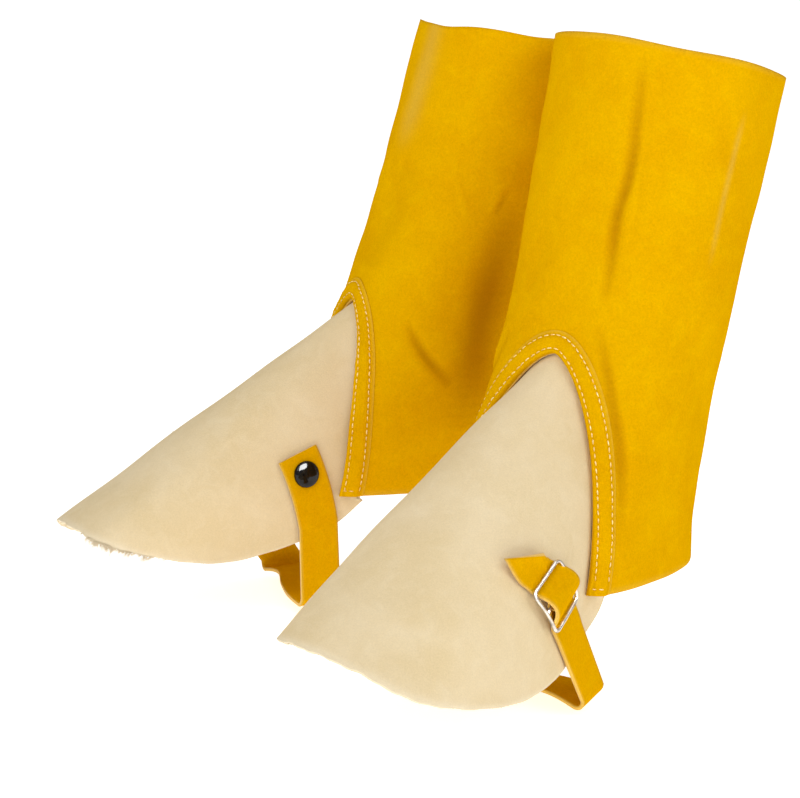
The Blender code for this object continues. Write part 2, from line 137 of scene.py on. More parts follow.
def smooth(table: dict[str, tuple[float, ...]], name: str, key: str, at: Array) -> Array:
    """One column of a table against another, on a cubic Hermite curve through its rows.

    Args:
        table: Columns of equal length by name.
        name: The column to read.
        key: The rising column that it is read against.
        at: Where to read it.

    Returns:
        The values at `at`; each span joins its rows with the slopes of the rows around it.
    """
    x = np.asarray(table[key], float)
    y = np.asarray(table[name], float)
    slope = np.gradient(y, x)
    row = np.clip(np.searchsorted(x, at, side="right") - 1, 0, len(x) - 2)
    gap = x[row + 1] - x[row]
    u = (at - x[row]) / gap
    return (
        (2 * u**3 - 3 * u**2 + 1) * y[row]
        + (u**3 - 2 * u**2 + u) * gap * slope[row]
        + (3 * u**2 - 2 * u**3) * y[row + 1]
        + (u**3 - u**2) * gap * slope[row + 1]
    )


def slopes(surface: Surface, first: Array, second: Array, step: float = 1e-4) -> tuple[Array, Array]:
    """How a surface's points move with each of its two parameters, by central differences."""
    by_first = (surface(first + step, second) - surface(first - step, second)) / (2 * step)
    by_second = (surface(first, second + step) - surface(first, second - step)) / (2 * step)
    return by_first, by_second


def swell(points: Array, size: float, seed: int, waves: int = 14) -> Array:
    """Soft unevenness over a surface, mostly between -1 and 1.

    Args:
        points: Places in metres.
        size: The usual distance from one rise to the next, in metres.
        seed: Picks the directions, lengths and phases of the waves.
        waves: How many plane waves are added up.

    Returns:
        The sum of plane sine waves that run in all directions, scaled to keep its spread.
    """
    draw = np.random.default_rng(seed)
    heading = unit(draw.normal(size=(waves, 3)))
    length = size * draw.uniform(0.7, 1.7, waves)
    phase = draw.uniform(0, 2 * math.pi, waves)
    return np.sin(2 * math.pi * (points @ heading.T) / length + phase).sum(-1) / math.sqrt(waves)


def ease(value: Array, start: float, end: float) -> Array:
    """A soft step from 0 at `start` to 1 at `end`: three times the square less twice the cube."""
    t = np.clip((value - start) / (end - start), 0, 1)
    return t * t * (3 - 2 * t)


def degrees_from(degrees: Array, middle: float) -> Array:
    """How far each direction lies from the middle one, from -180 to 180 degrees."""
    return (degrees - middle + 180) % 360 - 180


@dataclass(frozen=True)
class Fold:
    """A soft trough or ridge, placed along a bent line on a panel's map.

    Attributes:
        line: Points: (degrees round the leg from its front towards the outer side, share of the height), or
            (along, down) on the vamp.
        rise: Height at its middle in millimetres; below 0 it is a trough.
        width: Millimetres from its line to where it has mostly faded.
        roll: The share of the rise that comes back as a soft roll on the line's left.
        tint: How much deeper its painted shade lies than that of others of its size.
    """

    line: tuple[tuple[float, float], ...]
    rise: float
    width: float
    roll: float = 0.45
    tint: float = 1.0


@dataclass(frozen=True)
class PanelMap:
    """How a panel's two parameters measure on the leather, so that folds keep their real sizes."""

    across: float
    up: float
    turn: float = math.inf

    def relief(self, folds: tuple[Fold, ...], first: Array, second: Array) -> tuple[Array, Array]:
        """Adds up the folds over a panel.

        Args:
            folds: The panel's folds.
            first: The first parameter at each point.
            second: The second parameter at each point.

        Returns:
            The rise in metres and the painted shade, from -1 on a ridge to 1 in a trough. A fold's section is
            a bell over its distance from the line, less a wider bell beside it, and it fades to both ends.
        """
        rise, shade = np.zeros_like(first), np.zeros_like(first)
        for fold in folds:
            knots = np.array(fold.line, float)
            at = np.linspace(0, len(knots) - 1, 9 * (len(knots) - 1) + 1)
            rows = {"at": tuple(range(len(knots))), "a": tuple(knots[:, 0]), "b": tuple(knots[:, 1])}
            line_a, line_b = smooth(rows, "a", "at", at), smooth(rows, "b", "at", at)
            away_a = first[..., None] - line_a
            if math.isfinite(self.turn):
                away_a = (away_a + self.turn / 2) % self.turn - self.turn / 2
            away_a, away_b = away_a * self.across, (second[..., None] - line_b) * self.up
            far = np.hypot(away_a, away_b)
            near = far.argmin(-1)[..., None]
            run_a, run_b = np.gradient(line_a) * self.across, np.gradient(line_b) * self.up
            run = np.hypot(run_a, run_b)
            left = (run_a * away_b - run_b * away_a) / run
            left = np.take_along_axis(left, near, -1)[..., 0]
            far = np.take_along_axis(far, near, -1)[..., 0]
            share = near[..., 0] / (len(at) - 1)
            fade = np.sin(math.pi * np.clip(share, 0.001, 0.999)) ** 0.7
            width = fold.width * 0.001
            bell = np.exp(-((far / width) ** 2))
            roll = np.exp(-(((left / width - 1.9) / 1.5) ** 2) - (far / (4 * width)) ** 2)
            rise += fold.rise * 0.001 * fade * (bell - fold.roll * roll)
            # Painted shade: a trough darkens the colour by its depth against its width, times its gain.
            depth = np.clip(fold.tint * fold.rise / max(3.0, fold.width), -1, 1)
            shade -= depth * fade * (bell - 0.5 * fold.roll * roll)
        return rise, shade


@dataclass
class FootForm:
    """The form that a spat takes on its boot, in the foot frame, in the sizes the frame was built from."""

    side: Side
    spread: float = 0.0814
    stagger: float = 0.0038
    toe_out: float = math.radians(14.9)
    leg_wall: float = 0.0018
    back_square: float = 2.15
    vee_height: float = 0.1640
    vee_inner: float = 0.80
    vee_outer: float = 0.76
    vee_bluntness: float = 0.64
    vee_spacing: float = 1.35
    tuck_width: float = 0.0110
    tuck_depth: float = 0.0029
    tuck_share: float = 0.06
    vamp_bulge: float = 0.018
    corner_reach: float = 0.85
    apex_share: float = field(init=False)

    def __post_init__(self) -> None:
        """Finds the share of the height at which the front of the leg is as high as the V, by halving."""
        low, high = 0.0, 1.0
        for _ in range(40):
            middle = (low + high) / 2
            if self.leg(np.array(0.0), np.array(middle))[2] < self.vee_height:
                low = middle
            else:
                high = middle
        self.apex_share = low

    @property
    def vamp_reach(self) -> float:
        """How far the vamp's edge reaches forward against its table; the right one is cut shorter."""
        return 1.02 if self.side is Side.LEFT else 0.98

    def leg(self, angle: Array, share: Array) -> Array:
        """The leg's outer surface.

        Args:
            angle: Radians round the leg from its front towards the outer side.
            share: Share of the height, 0 at the hem and 1 at the rim.

        Returns:
            Points on tilted superellipses whose sizes, tilt and exponent follow the ring table.
        """
        angle, share = np.broadcast_arrays(np.asarray(angle, float), np.asarray(share, float))
        ring = {name: smooth(LEG_RINGS, name, "share", share) for name in LEG_RINGS if name != "share"}
        power = np.where(np.cos(angle) > 0, ring["square"], self.back_square)
        reach = (np.abs(np.cos(angle)) ** power + np.abs(np.sin(angle)) ** power) ** (-1 / power)
        forward = np.cos(angle) * reach * ring["depth"]
        x = np.sin(angle) * reach * ring["width"]
        y = ring["centre"] - forward * np.cos(ring["tilt"])
        z = ring["height"] + forward * np.sin(ring["tilt"]) - ring["side"] * x
        return np.stack([x, y, z], -1)

    def leg_normal(self, angle: Array, share: Array) -> Array:
        """The leg's outward normal: the cross product of its two slopes."""
        return unit(np.cross(*slopes(self.leg, angle, share)))

    def vee(self, along: Array) -> tuple[Array, Array]:
        """(angle, share) on the V's edge: -1 at the inner corner, 0 at the apex, 1 at the outer corner."""
        fall = np.abs(along) ** self.vee_spacing
        widest = np.where(along > 0, self.vee_outer, -self.vee_inner)
        return widest * (1 - (1 - fall) ** 2) ** self.vee_bluntness, self.apex_share * (1 - fall)

    def beside_vee(self, along: Array, width: Array | float) -> tuple[Array, Array]:
        """Steps back from the V's edge over the leg.

        Args:
            along: Place along the V's edge.
            width: Metres behind the edge, square to it.

        Returns:
            (angle, share), by solving for the step in the leg's two slopes.
        """
        step = 1e-3
        along = np.clip(along, -1, 1)
        angle, share = self.vee(along)
        next_angle, next_share = self.vee(np.clip(along + step, -1, 1))
        last_angle, last_share = self.vee(np.clip(along - step, -1, 1))
        by_angle, by_share = slopes(self.leg, angle, share)
        run = by_angle * (next_angle - last_angle)[..., None]
        run = run + by_share * (next_share - last_share)[..., None]
        away = unit(np.cross(np.cross(by_angle, by_share), run))
        aa, ss, cross = (by_angle**2).sum(-1), (by_share**2).sum(-1), (by_angle * by_share).sum(-1)
        on_angle, on_share = (away * by_angle).sum(-1), (away * by_share).sum(-1)
        scale = width / (aa * ss - cross**2)
        turn, climb = on_angle * ss - on_share * cross, on_share * aa - on_angle * cross
        return angle + scale * turn, share + scale * climb

    def under_leg(self, along: Array, width: Array | float) -> Array:
        """A point of the vamp's tuck: `width` behind the V's edge, under the leg."""
        angle, share = self.beside_vee(along, width)
        return self.leg(angle, share) - self.tuck_depth * self.leg_normal(angle, share)

    def vamp(self, along: Array, down: Array) -> Array:
        """The vamp's outer surface.

        Args:
            along: -1 at the inner corner, through 0 at the apex and the toe, to 1 at the outer corner.
            down: 0 at the top of the tuck, `tuck_share` at the V's edge and 1 at the lower edge.

        Returns:
            Straight rules from the V's edge to the lower edge, bulged over the foot's sides by a half sine.
            At the two corners the rules start behind the V, so that the leather doesn't double back.
        """
        along, down = np.broadcast_arrays(np.asarray(along, float), np.asarray(down, float))
        edge = np.stack([smooth(VAMP_EDGE, name, "along", along) for name in ("x", "y", "z")], -1)
        edge = edge * np.array([1, self.vamp_reach, 1])
        behind = self.corner_reach * np.abs(np.clip(along, -1, 1)) ** 14
        top = self.under_leg(along, self.tuck_width * behind)
        below = np.maximum(down - self.tuck_share, 0)[..., None] / (1 - self.tuck_share)
        tuck = self.tuck_width * (behind + (1 - behind) * np.clip(1 - down / self.tuck_share, 0, 1))
        crown = np.abs(along) * (1 - np.abs(along)) ** 2
        bulge = self.vamp_bulge * crown * np.sin(math.pi * np.minimum(below[..., 0], 1))
        outward = np.stack([0.7 * np.sign(along), 0 * along, 0.7 + 0 * along], -1)
        shown = top + (edge - top) * below + bulge[..., None] * outward
        return np.where((down < self.tuck_share)[..., None], self.under_leg(along, tuck), shown)

    def vamp_normal(self, along: Array, down: Array) -> Array:
        """The vamp's outward normal."""
        by_along, by_down = slopes(self.vamp, along, down)
        return unit(np.cross(by_down, by_along))

    def in_pair(self, points: Array) -> Array:
        """Foot-frame points in the pair's frame: mirrored for the right foot, turned out and moved aside."""
        side = self.side.value
        turn = side * self.toe_out
        x, y = points[..., 0] * side, points[..., 1]
        return np.stack([
            side * self.spread + math.cos(turn) * x - math.sin(turn) * y,
            -side * self.stagger + math.sin(turn) * x + math.cos(turn) * y,
            points[..., 2],
        ], -1)


# ---------------------------------------------------------------------------------- meshes


def grid_faces(index: Array) -> Array:
    """Quads between the rows and columns of a grid of point numbers."""
    return np.stack([index[:-1, :-1], index[:-1, 1:], index[1:, 1:], index[1:, :-1]], -1).reshape(-1, 4)


@dataclass
class MeshParts:
    """Points, faces and point values of a piece, gathered before they become one mesh."""

    points: Array
    faces: Faces
    values: dict[str, Array] = field(default_factory=dict)

    @classmethod
    def grid(cls, points: Array, values: dict[str, Array] | None = None, flip: bool = False) -> MeshParts:
        """A sheet through a grid of points; `flip` turns its faces over."""
        rows, columns = points.shape[:2]
        faces = grid_faces(np.arange(rows * columns).reshape(rows, columns))
        faces = faces[:, ::-1] if flip else faces
        values = values or {}
        flat = {name: np.broadcast_to(one, (rows, columns)).reshape(-1) for name, one in values.items()}
        return cls(points.reshape(-1, 3), faces.tolist(), flat)

    @classmethod
    def copies(cls, points: Array, faces: Faces, values: dict[str, Array] | None = None) -> MeshParts:
        """Many copies of one small shape: `points` is (copies, points in each, 3)."""
        count, size = points.shape[:2]
        every = [[i + copy * size for i in face] for copy in range(count) for face in faces]
        flat = {name: np.repeat(value, size) for name, value in (values or {}).items()}
        return cls(points.reshape(-1, 3), every, flat)


def make_piece(name: str, form: FootForm, parts: MeshParts, finishes: list[Material]) -> Piece:
    """Makes a piece's object at the origin.

    Args:
        name: The piece's name, without its side.
        form: Its foot, which places and mirrors it.
        parts: Its mesh in the foot frame, faces outwards.
        finishes: Its materials; the second, where there is one, is the cut edge's.

    Returns:
        The object, with shared points merged, smooth shading and its point values as attributes.
    """
    mesh = bpy.data.meshes.new(f"{form.side.label}_{name}")
    faces = parts.faces if form.side is Side.LEFT else [face[::-1] for face in parts.faces]
    mesh.from_pydata(form.in_pair(parts.points).tolist(), [], faces)
    for key, value in parts.values.items():
        layer = mesh.attributes.new(key, "FLOAT", "POINT")
        layer.data.foreach_set("value", np.ascontiguousarray(value, np.float32))
    shape = bmesh.new()
    shape.from_mesh(mesh)
    bmesh.ops.remove_doubles(shape, verts=shape.verts, dist=1e-6)
    bmesh.ops.dissolve_degenerate(shape, edges=shape.edges, dist=1e-7)
    shape.to_mesh(mesh)
    shape.free()
    mesh.shade_smooth()
    for finish in finishes:
        mesh.materials.append(finish)
    piece = bpy.data.objects.new(mesh.name, mesh)
    bpy.context.scene.collection.objects.link(piece)
    return piece


def give_wall(piece: Piece, thickness: float, outward: bool) -> None:
    """Gives a sheet of leather its thickness, with the cut edge in the piece's second material."""
    wall = piece.modifiers.new("wall", "SOLIDIFY")
    wall.thickness = thickness
    wall.offset = 1 if outward else -1
    wall.use_even_offset = False
    wall.use_rim = True
    wall.material_offset_rim = 1


def recalculate(piece: Piece) -> None:
    """Turns a closed piece's faces outwards."""
    shape = bmesh.new()
    shape.from_mesh(piece.data)
    bmesh.ops.recalc_face_normals(shape, faces=shape.faces)
    shape.to_mesh(piece.data)
    shape.free()


def tube(path: Array, radius: float, sides: int, closed: bool) -> tuple[Array, Faces]:
    """A round wire along a path.

    Args:
        path: Points along its middle.
        radius: The wire's radius.
        sides: Faces round it.
        closed: Whether the path closes on itself; otherwise flat caps close its ends.

    Returns:
        Points on circles square to the path, and faces that point outwards.
    """
    ahead = np.roll(path, -1, 0) - np.roll(path, 1, 0) if closed else np.gradient(path, axis=0)
    ahead = unit(ahead)
    offset = path[0] - path.mean(0)
    level = np.cross(offset, path[len(path) // 4] - path.mean(0)) if closed else np.array([0.3, 1.0, 1.0])
    first = unit(np.cross(ahead, level))
    second = np.cross(ahead, first)
    angle = np.linspace(0, 2 * math.pi, sides, endpoint=False)[:, None]
    rings = path[:, None] + radius * (first[:, None] * np.cos(angle) + second[:, None] * np.sin(angle))
    index = np.arange(len(path) * sides).reshape(len(path), sides)
    index = np.concatenate([index, index[:, :1]], 1)
    index = np.concatenate([index, index[:1]], 0) if closed else index
    faces = grid_faces(index)[:, ::-1].tolist()
    if not closed:
        faces += [index[0, :sides][::-1].tolist(), index[-1, :sides].tolist()]
    return rings.reshape(-1, 3), faces


# ---------------------------------------------------------------------------------- finishes


def linear(shade: str) -> tuple[float, float, float, float]:
    """An sRGB hex colour such as "#E8AE00" as linear red, green, blue and alpha."""
    parts = [int(shade[i : i + 2], 16) / 255 for i in (1, 3, 5)]
    red, green, blue = (p / 12.92 if p <= 0.04045 else ((p + 0.055) / 1.055) ** 2.4 for p in parts)
    return red, green, blue, 1.0


def add_node(tree: bpy.types.NodeTree, kind: str, inputs: dict, **settings: Any) -> bpy.types.Node:
    """Adds a node to a material.

    Args:
        tree: The material's nodes.
        kind: The node's type.
        inputs: What goes into each socket, by name or number: another node's output, or a plain value.
        settings: The node's own settings.

    Returns:
        The node.
    """
    node = tree.nodes.new(kind)
    for name, value in settings.items():
        setattr(node, name, value)
    for name, value in inputs.items():
        if isinstance(value, Socket):
            tree.links.new(value, node.inputs[name])
        else:
            node.inputs[name].default_value = value
    return node


class Recipe:
    """A Principled material while it is put together, with a call for each kind of node the finishes use."""

    def __init__(self, name: str, plain: dict[str, Any]) -> None:
        """Starts the material.

        Args:
            name: Its name.
            plain: Values that are set on the shader's sockets as they stand.
        """
        self.material = bpy.data.materials.new(name)
        self.material.use_nodes = True
        self.tree = self.material.node_tree
        self.shader = self.tree.nodes["Principled BSDF"]
        for socket, value in plain.items():
            self.shader.inputs[socket].default_value = value

    @cached_property
    def place(self) -> Socket:
        """Where a point lies on the object, in metres."""
        return add_node(self.tree, "ShaderNodeTexCoord", {}).outputs["Object"]

    def noise(self, size_mm: float, detail: float, roughness: float = 0.5, twist: float = 0.0) -> Socket:
        """Noise whose lumps are `size_mm` across."""
        return add_node(self.tree, "ShaderNodeTexNoise", {
            "Vector": self.place, "Scale": 1000 / size_mm, "Detail": detail,
            "Roughness": roughness, "Distortion": twist,
        }).outputs["Fac"]

    def attribute(self, name: str) -> Socket:
        """One of the piece's own point values."""
        return add_node(self.tree, "ShaderNodeAttribute", {}, attribute_name=name).outputs["Fac"]

    def stretch(self, value: Socket, start: float, end: float, low: float = 0.0, high: float = 1.0) -> Socket:
        """Carries the range from start to end over to low to high, and clamps it there."""
        return add_node(self.tree, "ShaderNodeMapRange", {
            "Value": value, "From Min": start, "From Max": end, "To Min": low, "To Max": high,
        }).outputs["Result"]

    def mix(self, share: Socket | float, first: Colour, second: Colour, blend: str = "MIX") -> Socket:
        """Mixes two colours, each a hex colour or a socket."""
        first, second = (linear(each) if isinstance(each, str) else each for each in (first, second))
        inputs = {0: share, 6: first, 7: second}
        return add_node(self.tree, "ShaderNodeMix", inputs, data_type="RGBA", blend_type=blend).outputs[2]

    def dress(
        self, colour: Socket, height: Socket | None = None, strength: float = 0.0, depth_mm: float = 0.0,
        rough: Socket | None = None,
    ) -> Material:
        """Finishes the material.

        Args:
            colour: Its colour.
            height: The height of its relief, if it has one.
            strength: The relief's strength.
            depth_mm: The relief's depth.
            rough: Its roughness, where that changes from place to place.

        Returns:
            The material.
        """
        links = {"Base Color": colour}
        if rough is not None:
            links["Roughness"] = rough
        if height is not None:
            relief = {"Height": height, "Strength": strength, "Distance": depth_mm * 0.001}
            links["Normal"] = add_node(self.tree, "ShaderNodeBump", relief).outputs["Normal"]
        for name, socket in links.items():
            self.tree.links.new(socket, self.shader.inputs[name])
        return self.material


@dataclass(frozen=True)
class Leather:
    """Split leather: the layer under the grain, its fibres buffed up to a short matt nap on both faces.

    To the eye it has no gloss, a cloudy colour where the nap lies one way or the other, a fine fibrous
    speckle, and a slight glow at grazing angles from the fibre ends; the shade in its folds is painted darker
    into its colour.

    Attributes:
        name: The material's name.
        base: Its usual colour.
        shade: Where the nap lies away, and the dye is deeper.
        light: Where the nap is brushed up.
        fold_shade: The colour of the painted shade at the bottom of a fold.
        worn: Scuffed places that have lost colour.
        cloud_mm: Size of the large clouds.
        patch_mm: Size of the brushed patches.
        nap_mm: Size of the fibre tufts, drawn coarser than the real 0.2 mm so that they show.
        fibre_to_nap: Length of the brushed fibres against the tufts.
        relief_mm: Height of the tufts.
        sheen: How strongly the fibre ends glow.
        speckle: Contrast of the tufts' colour.
        brushing: How far the brushed patches take the light colour.
        trough_share: How far the painted shade at the bottom of a fold takes the dark fold colour.
        roughness: The shader's roughness.
    """

    name: str
    base: str
    shade: str
    light: str
    fold_shade: str
    worn: str
    cloud_mm: float = 46.0
    patch_mm: float = 11.0
    nap_mm: float = 1.1
    fibre_to_nap: float = 3.1
    relief_mm: float = 0.16
    sheen: float = 0.12
    speckle: float = 0.14
    brushing: float = 0.45
    trough_share: float = 0.6
    roughness: float = 0.92

    def material(self) -> Material:
        """Builds the node material; the painted shade of its folds, and its worn places, come from the
        piece's own attributes.
        """
        recipe = Recipe(self.name, {
            "Roughness": self.roughness, "Specular IOR Level": 0.0, "Sheen Weight": self.sheen,
            "Sheen Roughness": 0.45, "Sheen Tint": linear(self.base),
        })
        cloud = recipe.noise(self.cloud_mm, 3.0, 0.55, 0.4)
        patch = recipe.noise(self.patch_mm, 4.0, 0.62, 0.8)
        nap = recipe.noise(self.nap_mm, 5.0, 0.75, 0.3)
        fibre = recipe.noise(self.nap_mm * self.fibre_to_nap, 6.0, 0.8, 2.2)
        colour = recipe.mix(recipe.stretch(cloud, 0.36, 0.66), self.shade, self.base)
        colour = recipe.mix(recipe.stretch(patch, 0.46, 0.74, 0.0, self.brushing), colour, self.light)
        # Painted shade: the fold value darkens the bottoms of folds towards the dark fold colour.
        trough = recipe.stretch(recipe.attribute("fold"), 0.05, 1.0, 0.0, self.trough_share)
        colour = recipe.mix(trough, colour, self.fold_shade)
        colour = recipe.mix(recipe.attribute("worn"), colour, self.worn)
        speck = recipe.stretch(nap, 0.3, 0.7, 1 - self.speckle, 1 + 0.7 * self.speckle)
        colour = recipe.mix(1.0, colour, speck, "MULTIPLY")
        height = add_node(recipe.tree, "ShaderNodeMath", {0: nap, 1: fibre}, operation="ADD").outputs[0]
        return recipe.dress(colour, height, 0.85, self.relief_mm)


@dataclass(frozen=True)
class CutEdge:
    """The knife-cut edge of split leather: loose pale fibres, matt, lighter than the dyed faces."""

    name: str
    base: str
    light: str
    fibre_mm: float = 0.9

    def material(self) -> Material:
        """Builds the node material: two colours in short streaks, and a rough fibre relief."""
        recipe = Recipe(self.name, {"Roughness": 0.95, "Specular IOR Level": 0.15, "Sheen Weight": 0.3})
        streak = recipe.noise(self.fibre_mm, 4.0, 0.7, 1.0)
        return recipe.dress(recipe.mix(streak, self.base, self.light), streak, 0.9, 0.3)


@dataclass(frozen=True)
class SewingThread:
    """Spun polyester thread, bonded: pale, with a soft gloss along the crown of each stitch."""

    name: str
    base: str
    light: str
    ply_mm: float = 0.5

    def material(self) -> Material:
        """Builds the node material: each stitch has its own tone from an attribute, over fine plies."""
        recipe = Recipe(self.name, {"Roughness": 0.5, "Sheen Weight": 0.15})
        colour = recipe.mix(recipe.attribute("tone"), self.base, self.light)
        return recipe.dress(colour, recipe.noise(self.ply_mm, 2.0), 0.5, 0.1)


@dataclass(frozen=True)
class PlatedWire:
    """Nickel-plated steel wire, drawn and tumbled: bright, a little warm, with worn and stained places."""

    name: str = "nickel_plated_wire"
    bright: str = "#D9D2C8"
    stain: str = "#6E5F52"
    stain_mm: float = 5.0
    scratch_mm: float = 0.7

    def material(self) -> Material:
        """Builds the node material: stains darken and roughen the plating, and fine scratches bump it."""
        recipe = Recipe(self.name, {"Metallic": 1.0})
        stained = recipe.stretch(recipe.noise(self.stain_mm, 5.0), 0.45, 0.75)
        colour = recipe.mix(stained, self.bright, self.stain)
        rough = recipe.stretch(stained, 0.0, 1.0, 0.22, 0.5)
        return recipe.dress(colour, recipe.noise(self.scratch_mm, 3.0), 0.25, 0.1, rough)


@dataclass(frozen=True)
class BakedEnamel:
    """Black baked enamel on the snap's brass cap: deep black, hard, glossy, with a trace of handling dust."""

    name: str = "black_baked_enamel"
    black: str = "#0B0B0D"
    dust: str = "#2A2725"
    dust_mm: float = 1.6

    def material(self) -> Material:
        """Builds the node material: dust in specks lifts the colour and the roughness a little."""
        recipe = Recipe(self.name, {"Specular IOR Level": 0.3})
        dusty = recipe.stretch(recipe.noise(self.dust_mm, 4.0), 0.55, 0.8)
        rough = recipe.stretch(dusty, 0.0, 1.0, 0.07, 0.22)
        return recipe.dress(recipe.mix(dusty, self.black, self.dust), rough=rough)


@dataclass
class Finishes:
    """Every finish of the pair, built once and shared by both spats."""

    suede: Material
    band: Material
    strap: Material
    cream: Material
    yellow_edge: Material
    cream_edge: Material
    thread: Material
    wire: Material
    enamel: Material

    @classmethod
    def build(cls) -> Finishes:
        """Builds the materials."""
        # The dark fold colours are the painted shade in the bottoms of folds.
        yellow = dict(base="#DBA500", shade="#D69D00", light="#E1AF00", fold_shade="#8A4A06", worn="#CFAE50")
        cream = dict(base="#E2CFAA", shade="#DBC69C", light="#EADBBC", fold_shade="#AE8C5A", worn="#E9DCC2")
        cream |= dict(speckle=0.08, relief_mm=0.14, nap_mm=0.8, brushing=0.3)
        return cls(
            suede=Leather("golden_split_suede", **yellow).material(),
            band=Leather("golden_split_band", **{**yellow, "base": "#DEA800"}, nap_mm=1.0).material(),
            strap=Leather("golden_split_strap", **{**yellow, "base": "#D89E00"}, patch_mm=7.0).material(),
            cream=Leather("undyed_split_leather", **cream).material(),
            yellow_edge=CutEdge("golden_cut_edge", "#D9A21C", "#EBC65C").material(),
            cream_edge=CutEdge("undyed_cut_edge", "#E3CDA0", "#F4E8CE").material(),
            thread=SewingThread("bonded_polyester_thread", "#DDA91E", "#EFD27C").material(),
            wire=PlatedWire().material(),
            enamel=BakedEnamel().material(),
        )


# ---------------------------------------------------------------------------------- stitches


@dataclass(frozen=True)
class Stitching:
    """Lockstitch: each stitch is a short bowed bead of thread whose ends sink into the leather."""

    length: float = 0.0027
    pitch: float = 0.0036
    radius: float = 0.00036
    bow: float = 0.00045
    sink: float = 0.00022
    sides: int = 6
    rings: int = 5

    def bead(self) -> tuple[Array, Faces]:
        """One stitch: rings along x whose radius narrows and whose middle rises as a parabola."""
        x = np.linspace(-0.5, 0.5, self.rings)
        angle = np.linspace(0, 2 * math.pi, self.sides, endpoint=False)
        radius = self.radius * (1 - 1.6 * x**2)
        across = radius[:, None] * np.cos(angle)
        up = radius[:, None] * np.sin(angle) + (self.bow * (1 - 4 * x**2) - self.sink)[:, None]
        points = np.stack([np.broadcast_to((x * self.length)[:, None], across.shape), across, up], -1)
        index = np.arange(self.rings * self.sides).reshape(self.rings, self.sides)
        faces = grid_faces(np.concatenate([index, index[:, :1]], 1)).tolist()
        faces += [index[0][::-1].tolist(), index[-1].tolist()]
        return points.reshape(-1, 3), faces

    def row(self, path: Array, normals: Array, seed: int) -> tuple[Array, Array]:
        """Sews one row.

        Args:
            path: Points on the leather, closely spaced.
            normals: The leather's outward normal at each.
            seed: Picks the small differences between stitches.

        Returns:
            The points of every stitch, laid along the path at an even pitch, and each stitch's tone.
        """
        draw = np.random.default_rng(seed)
        run = np.append(0, np.cumsum(np.linalg.norm(np.diff(path, axis=0), axis=1)))
        count = max(int((run[-1] - self.length) / self.pitch), 1)
        at = self.length / 2 + self.pitch * (np.arange(count) + 0.2) + draw.normal(0, 0.00012, count)
        centre = np.stack([np.interp(at, run, path[:, i]) for i in range(3)], -1)
        ahead = np.stack([np.interp(at + 0.0008, run, path[:, i]) for i in range(3)], -1) - centre
        up = unit(np.stack([np.interp(at, run, normals[:, i]) for i in range(3)], -1))
        ahead = unit(ahead - up * (ahead * up).sum(-1, keepdims=True))
        across = np.cross(up, ahead)
        skew = draw.normal(0, 0.07, count)[:, None]
        ahead, across = unit(ahead + skew * across), unit(across - skew * ahead)
        bead = self.bead()[0]
        points = (
            centre[:, None]
            + bead[None, :, :1] * ahead[:, None]
            + bead[None, :, 1:2] * across[:, None]
            + bead[None, :, 2:] * up[:, None]
        )
        return points, np.clip(draw.normal(0.55, 0.28, count), 0, 1)

    def sew(self, name: str, form: FootForm, rows: list[tuple[Array, Array]], thread: Material) -> Piece:
        """Joins rows of (path, normals) into one piece of stitching."""
        made = [self.row(path, normals, 40 + number) for number, (path, normals) in enumerate(rows)]
        parts = MeshParts.copies(
            np.concatenate([points for points, _ in made]),
            self.bead()[1],
            {"tone": np.concatenate([tone for _, tone in made])},
        )
        return make_piece(name, form, parts, [thread])


# ---------------------------------------------------------------------------------- leg


LEG_MAP = PanelMap(across=math.radians(1) * 0.056, up=0.2565, turn=360.0)

